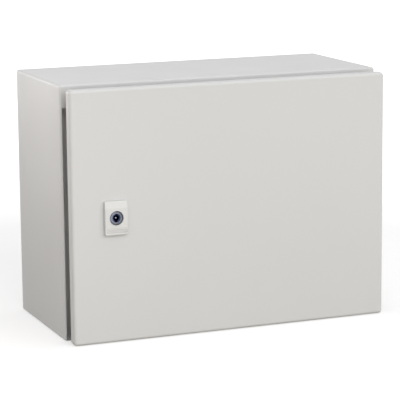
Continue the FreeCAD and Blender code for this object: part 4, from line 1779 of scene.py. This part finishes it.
    def insert(self) -> bpy.types.Object:
        """Builds the insert from the keyhole's floor over its face to its square end.

        The square's radius is half its side divided by the larger of cosine and sine, and no more
        than its rounded corner allows.

        Returns:
            The insert's object.
        """
        angles = even_angles(self.insert_columns)
        hole = self.keyhole(angles)
        reach = self.square_half / np.maximum(np.abs(np.cos(angles)), np.abs(np.sin(angles)))
        square = np.minimum(reach, self.square_half * self.square_corner_share)
        edge = self.insert_edge
        y_collar_back = self.y_collar + self.collar
        steps = (
            (self.y_insert + self.keyhole_depth, hole), (self.y_insert + edge, hole),
            (self.y_insert + edge / 3, hole + edge / 3), (self.y_insert, hole + edge),
            (self.y_insert, self.insert_radius - edge), (self.y_insert + edge, self.insert_radius),
            (self.y_collar, self.insert_radius), (self.y_collar, self.collar_radius - edge),
            (self.y_collar + edge, self.collar_radius), (y_collar_back - edge, self.collar_radius),
            (y_collar_back, self.collar_radius - edge), (y_collar_back, self.shank_radius),
            (self.y_cam, self.shank_radius), (self.y_cam, square),
            (self.y_cam + self.cam_thickness, square))
        depths = np.array([depth for depth, _ in steps])
        radii = np.stack([np.broadcast_to(radius, angles.shape) for _, radius in steps])
        shell = Shell()
        shell.add_tube(turned(self.axis_point(), Direction.INWARD, angles, depths, radii))
        self.pin(shell)
        return shell.to_object("lock_insert_detailed", self.smooth_angle)

    def build(self) -> list[Piece]:
        """Builds and dresses all the lock's pieces.

        Returns:
            The finished pieces.
        """
        nut, washer, screw = Shell(), Shell(), Shell()
        y_washer = self.y_cam + self.cam_thickness
        MAKER.nut(nut, BARREL_THREAD, self.axis_point(self.y_door_inside), Direction.INWARD)
        MAKER.washer(washer, M5, self.axis_point(y_washer), Direction.INWARD)
        MAKER.socket_screw(screw, self.axis_point(y_washer + M5.washer_height), Direction.OUTWARD,
                           self.screw_length)
        return [
            carry_over("lock_escutcheon", ESCUTCHEON_PLASTIC),
            carry_over("lock_seal", SEAL_RUBBER),
            stand_in(self.housing(), "lock_housing", Carrier.DOOR, HOUSING_METAL),
            detailed("lock_nut", nut, Carrier.DOOR),
            stand_in(self.insert(), "lock_insert", Carrier.LOCK_ROTOR, INSERT_METAL),
            softened("lock_cam", Carrier.LOCK_ROTOR, ZINC, self.cam_rounding),
            detailed("cam_washer", washer, Carrier.LOCK_ROTOR),
            detailed("cam_screw", screw, Carrier.LOCK_ROTOR),
        ]


# Studio


@dataclass(frozen=True)
class Lamp:
    """One soft area lamp; one that isn't mirrored leaves no sheen on surfaces."""

    name: str
    place: Place
    target: Place
    width: float
    height: float
    power: float
    colour: Place = (1.0, 1.0, 1.0)
    spread: float = 180.0
    mirrored: bool = True

    def build(self) -> None:
        """Hangs the lamp and points it at its target."""
        light = bpy.data.lights.new(self.name, "AREA")
        light.shape = "RECTANGLE"
        light.size = self.width
        light.size_y = self.height
        light.energy = self.power
        light.color = self.colour
        light.spread = radians(self.spread)
        holder = bpy.data.objects.new(self.name, light)
        holder.location = self.place
        aim = Vector(self.target) - Vector(self.place)
        holder.rotation_euler = aim.to_track_quat("-Z", "Y").to_euler()
        holder.visible_camera = False
        holder.visible_glossy = self.mirrored
        bpy.context.scene.collection.objects.link(holder)


@dataclass(frozen=True)
class Camera:
    """The photograph's viewpoint; lens and sensor are in millimetres, angles in degrees."""

    place: Place = (-0.862, -2.2575, 0.4296)
    lens: float = 174.13
    sensor: float = 36.0
    reach: float = 100.0
    yaw: float = 21.753
    pitch: float = 10.718
    roll: float = -0.551

    def build(self) -> None:
        """Sets up the camera.

        It looks along the yaw from the Y axis and down by the pitch. The sideways and upward
        vectors are then turned about the line of sight by the roll.
        """
        yaw, pitch, roll = radians(self.yaw), radians(self.pitch), radians(self.roll)
        ahead = Vector((sin(yaw) * cos(pitch), cos(yaw) * cos(pitch), -sin(pitch)))
        level = Vector((cos(yaw), -sin(yaw), 0.0))
        upright = level.cross(ahead)
        right = cos(roll) * level + sin(roll) * upright
        up = cos(roll) * upright - sin(roll) * level
        data = bpy.data.cameras.new("photo_view")
        data.sensor_width = self.sensor
        data.sensor_fit = "HORIZONTAL"
        data.lens = self.lens
        data.clip_end = self.reach
        holder = bpy.data.objects.new("photo_view", data)
        turn = Matrix((right, up, -ahead)).transposed()
        holder.matrix_world = Matrix.Translation(self.place) @ turn.to_4x4()
        bpy.context.scene.collection.objects.link(holder)
        bpy.context.scene.camera = holder


@dataclass
class Studio:
    """Floor, world, lamps and camera."""

    floor_reach: float = 15.0
    z_floor: float = -0.15
    floor_glow: float = 0.5
    floor_seen: Colour = (0.6, 0.6, 0.6, 1.0)
    floor_bounce: Colour = (0.34, 0.315, 0.245, 1.0)
    fade_span: Span = (0.5, 1.4)
    ambient: float = 0.52
    lamps: Sequence[Lamp] = (
        Lamp("key_softbox", (-0.7, -2.2, 1.3), (0.0, -0.2, 0.0), 1.6, 1.3, 9.0),
        Lamp("front_softbox", (0.7, -2.5, 1.05), (0.0, -0.2, 0.0), 3.6, 2.4, 42.0, mirrored=False),
        Lamp("front_low", (0.2, -0.85, -0.06), (0.1, -0.2, -0.16), 1.1, 0.1, 0.24),
        Lamp("left_strip", (-0.5, -0.12, 0.25), (-0.2, -0.12, 0.15), 0.2, 0.3, 0.15,
             colour=(1.0, 0.82, 0.8)),
        Lamp("left_upper", (-0.62, -0.08, 0.41), (-0.2, -0.08, 0.27), 0.2, 0.3, 0.038,
             colour=(1.0, 0.99, 0.975), spread=50.0),
        Lamp("left_edge", (-0.4, -0.42, 0.0), (-0.2, -0.15, 0.0), 0.1, 0.4, 0.13,
             colour=(1.0, 0.93, 0.87)),
        Lamp("overhead", (0.2, -0.02, 1.5), (0.08, -0.02, 0.15), 1.0, 0.5, 2.2),
        Lamp("rear_softbox", (-0.9, 2.3, 0.3), (0.0, 0.0, 0.0), 1.0, 0.8, 8.0),
    )

    @staticmethod
    def split_by_ray(graph: ShaderGraph, kind: str, others: Socket, seen: Socket) -> None:
        """Ends a graph with one shader for the rays that see a surface and one for the others.

        A ray sees the surface where it comes from the camera, a gloss or a clear piece.

        Args:
            graph: The graph to end.
            kind: Type name of its output node.
            others: Shader for rays that only light the object.
            seen: Shader for rays that see the surface.
        """
        path = graph.add("ShaderNodeLightPath")
        sharp = graph.calculate("MAXIMUM", path.outputs["Is Glossy Ray"],
                                path.outputs["Is Transmission Ray"])
        direct = graph.calculate("MAXIMUM", path.outputs["Is Camera Ray"], sharp)
        graph.add(kind, {0: graph.join("ShaderNodeMixShader", direct, others, seen)})

    def build_floor(self) -> None:
        """Lays a plain pale floor that keeps the soft shadow and is white elsewhere.

        Its glow rises with the distance from the object, because the lamps reach less far.
        """
        reach = self.floor_reach
        corners = [(-reach, -reach, self.z_floor), (reach, -reach, self.z_floor),
                   (reach, reach, self.z_floor), (-reach, reach, self.z_floor)]
        mesh = bpy.data.meshes.new("studio_floor")
        mesh.from_pydata(corners, [], [(0, 1, 2, 3)])
        floor = bpy.data.objects.new("studio_floor", mesh)
        bpy.context.scene.collection.objects.link(floor)
        material = bpy.data.materials.new("studio_floor")
        graph = bare_graph(material)
        bounce = graph.join("ShaderNodeBsdfDiffuse", self.floor_bounce)
        pale = graph.join("ShaderNodeBsdfDiffuse", self.floor_seen)
        far = graph.length(graph.stretch(graph.object_space(), (1.0, 1.0, 0.0)))
        strength = graph.remap(far, self.fade_span, self.floor_glow, 1.0)
        glow = graph.join("ShaderNodeEmission", WHITE, strength)
        self.split_by_ray(graph, "ShaderNodeOutputMaterial", bounce,
                          graph.join("ShaderNodeAddShader", pale, glow))
        mesh.materials.append(material)

    def build_world(self) -> None:
        """Sets a white surround for the eye and a dimmer one that lights the object."""
        world = bpy.data.worlds.new("studio")
        graph = bare_graph(world)
        dim = graph.join("ShaderNodeBackground", WHITE, self.ambient)
        self.split_by_ray(graph, "ShaderNodeOutputWorld", dim,
                          graph.join("ShaderNodeBackground", WHITE, 1.0))
        bpy.context.scene.world = world

    def build(self) -> None:
        """Builds the whole studio."""
        self.build_floor()
        self.build_world()
        for lamp in self.lamps:
            lamp.build()
        Camera().build()
        bpy.context.scene.view_settings.view_transform = "Standard"


def report_piece(piece: Piece) -> None:
    """Writes one line about a finished piece to the log.

    Args:
        piece: The finished piece.
    """
    low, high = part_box(piece.label)
    size = [round((high[axis] - low[axis]) * MILLIMETRES, 1) for axis in range(3)]
    log.info("%-22s %-22s %s, CAD size %s mm, %d faces", piece.label, piece.finish.name,
             "new" if piece.fresh else "carried over", size, len(piece.thing.data.polygons))


def main() -> None:
    """Builds the sub-assemblies in order, then the studio."""
    logging.basicConfig(level=logging.INFO, format="%(name)s: %(message)s")
    assemblies = (
        Body(),
        SealingFrame(),
        MountingPlate(),
        GlandPlate(),
        EarthPoint("body_earth", Carrier.ENCLOSURE, foot=(-0.1988, -0.06, -0.1),
                   way=Direction.RIGHT),
        EarthPoint("door_earth", Carrier.DOOR, foot=(0.15, -0.1985, -0.1035),
                   way=Direction.INWARD),
        Hinges(),
        Door(),
        Lock(),
    )
    for assembly in assemblies:
        for piece in assembly.build():
            report_piece(piece)
    Studio().build()


if __name__ == "__main__":
    main()
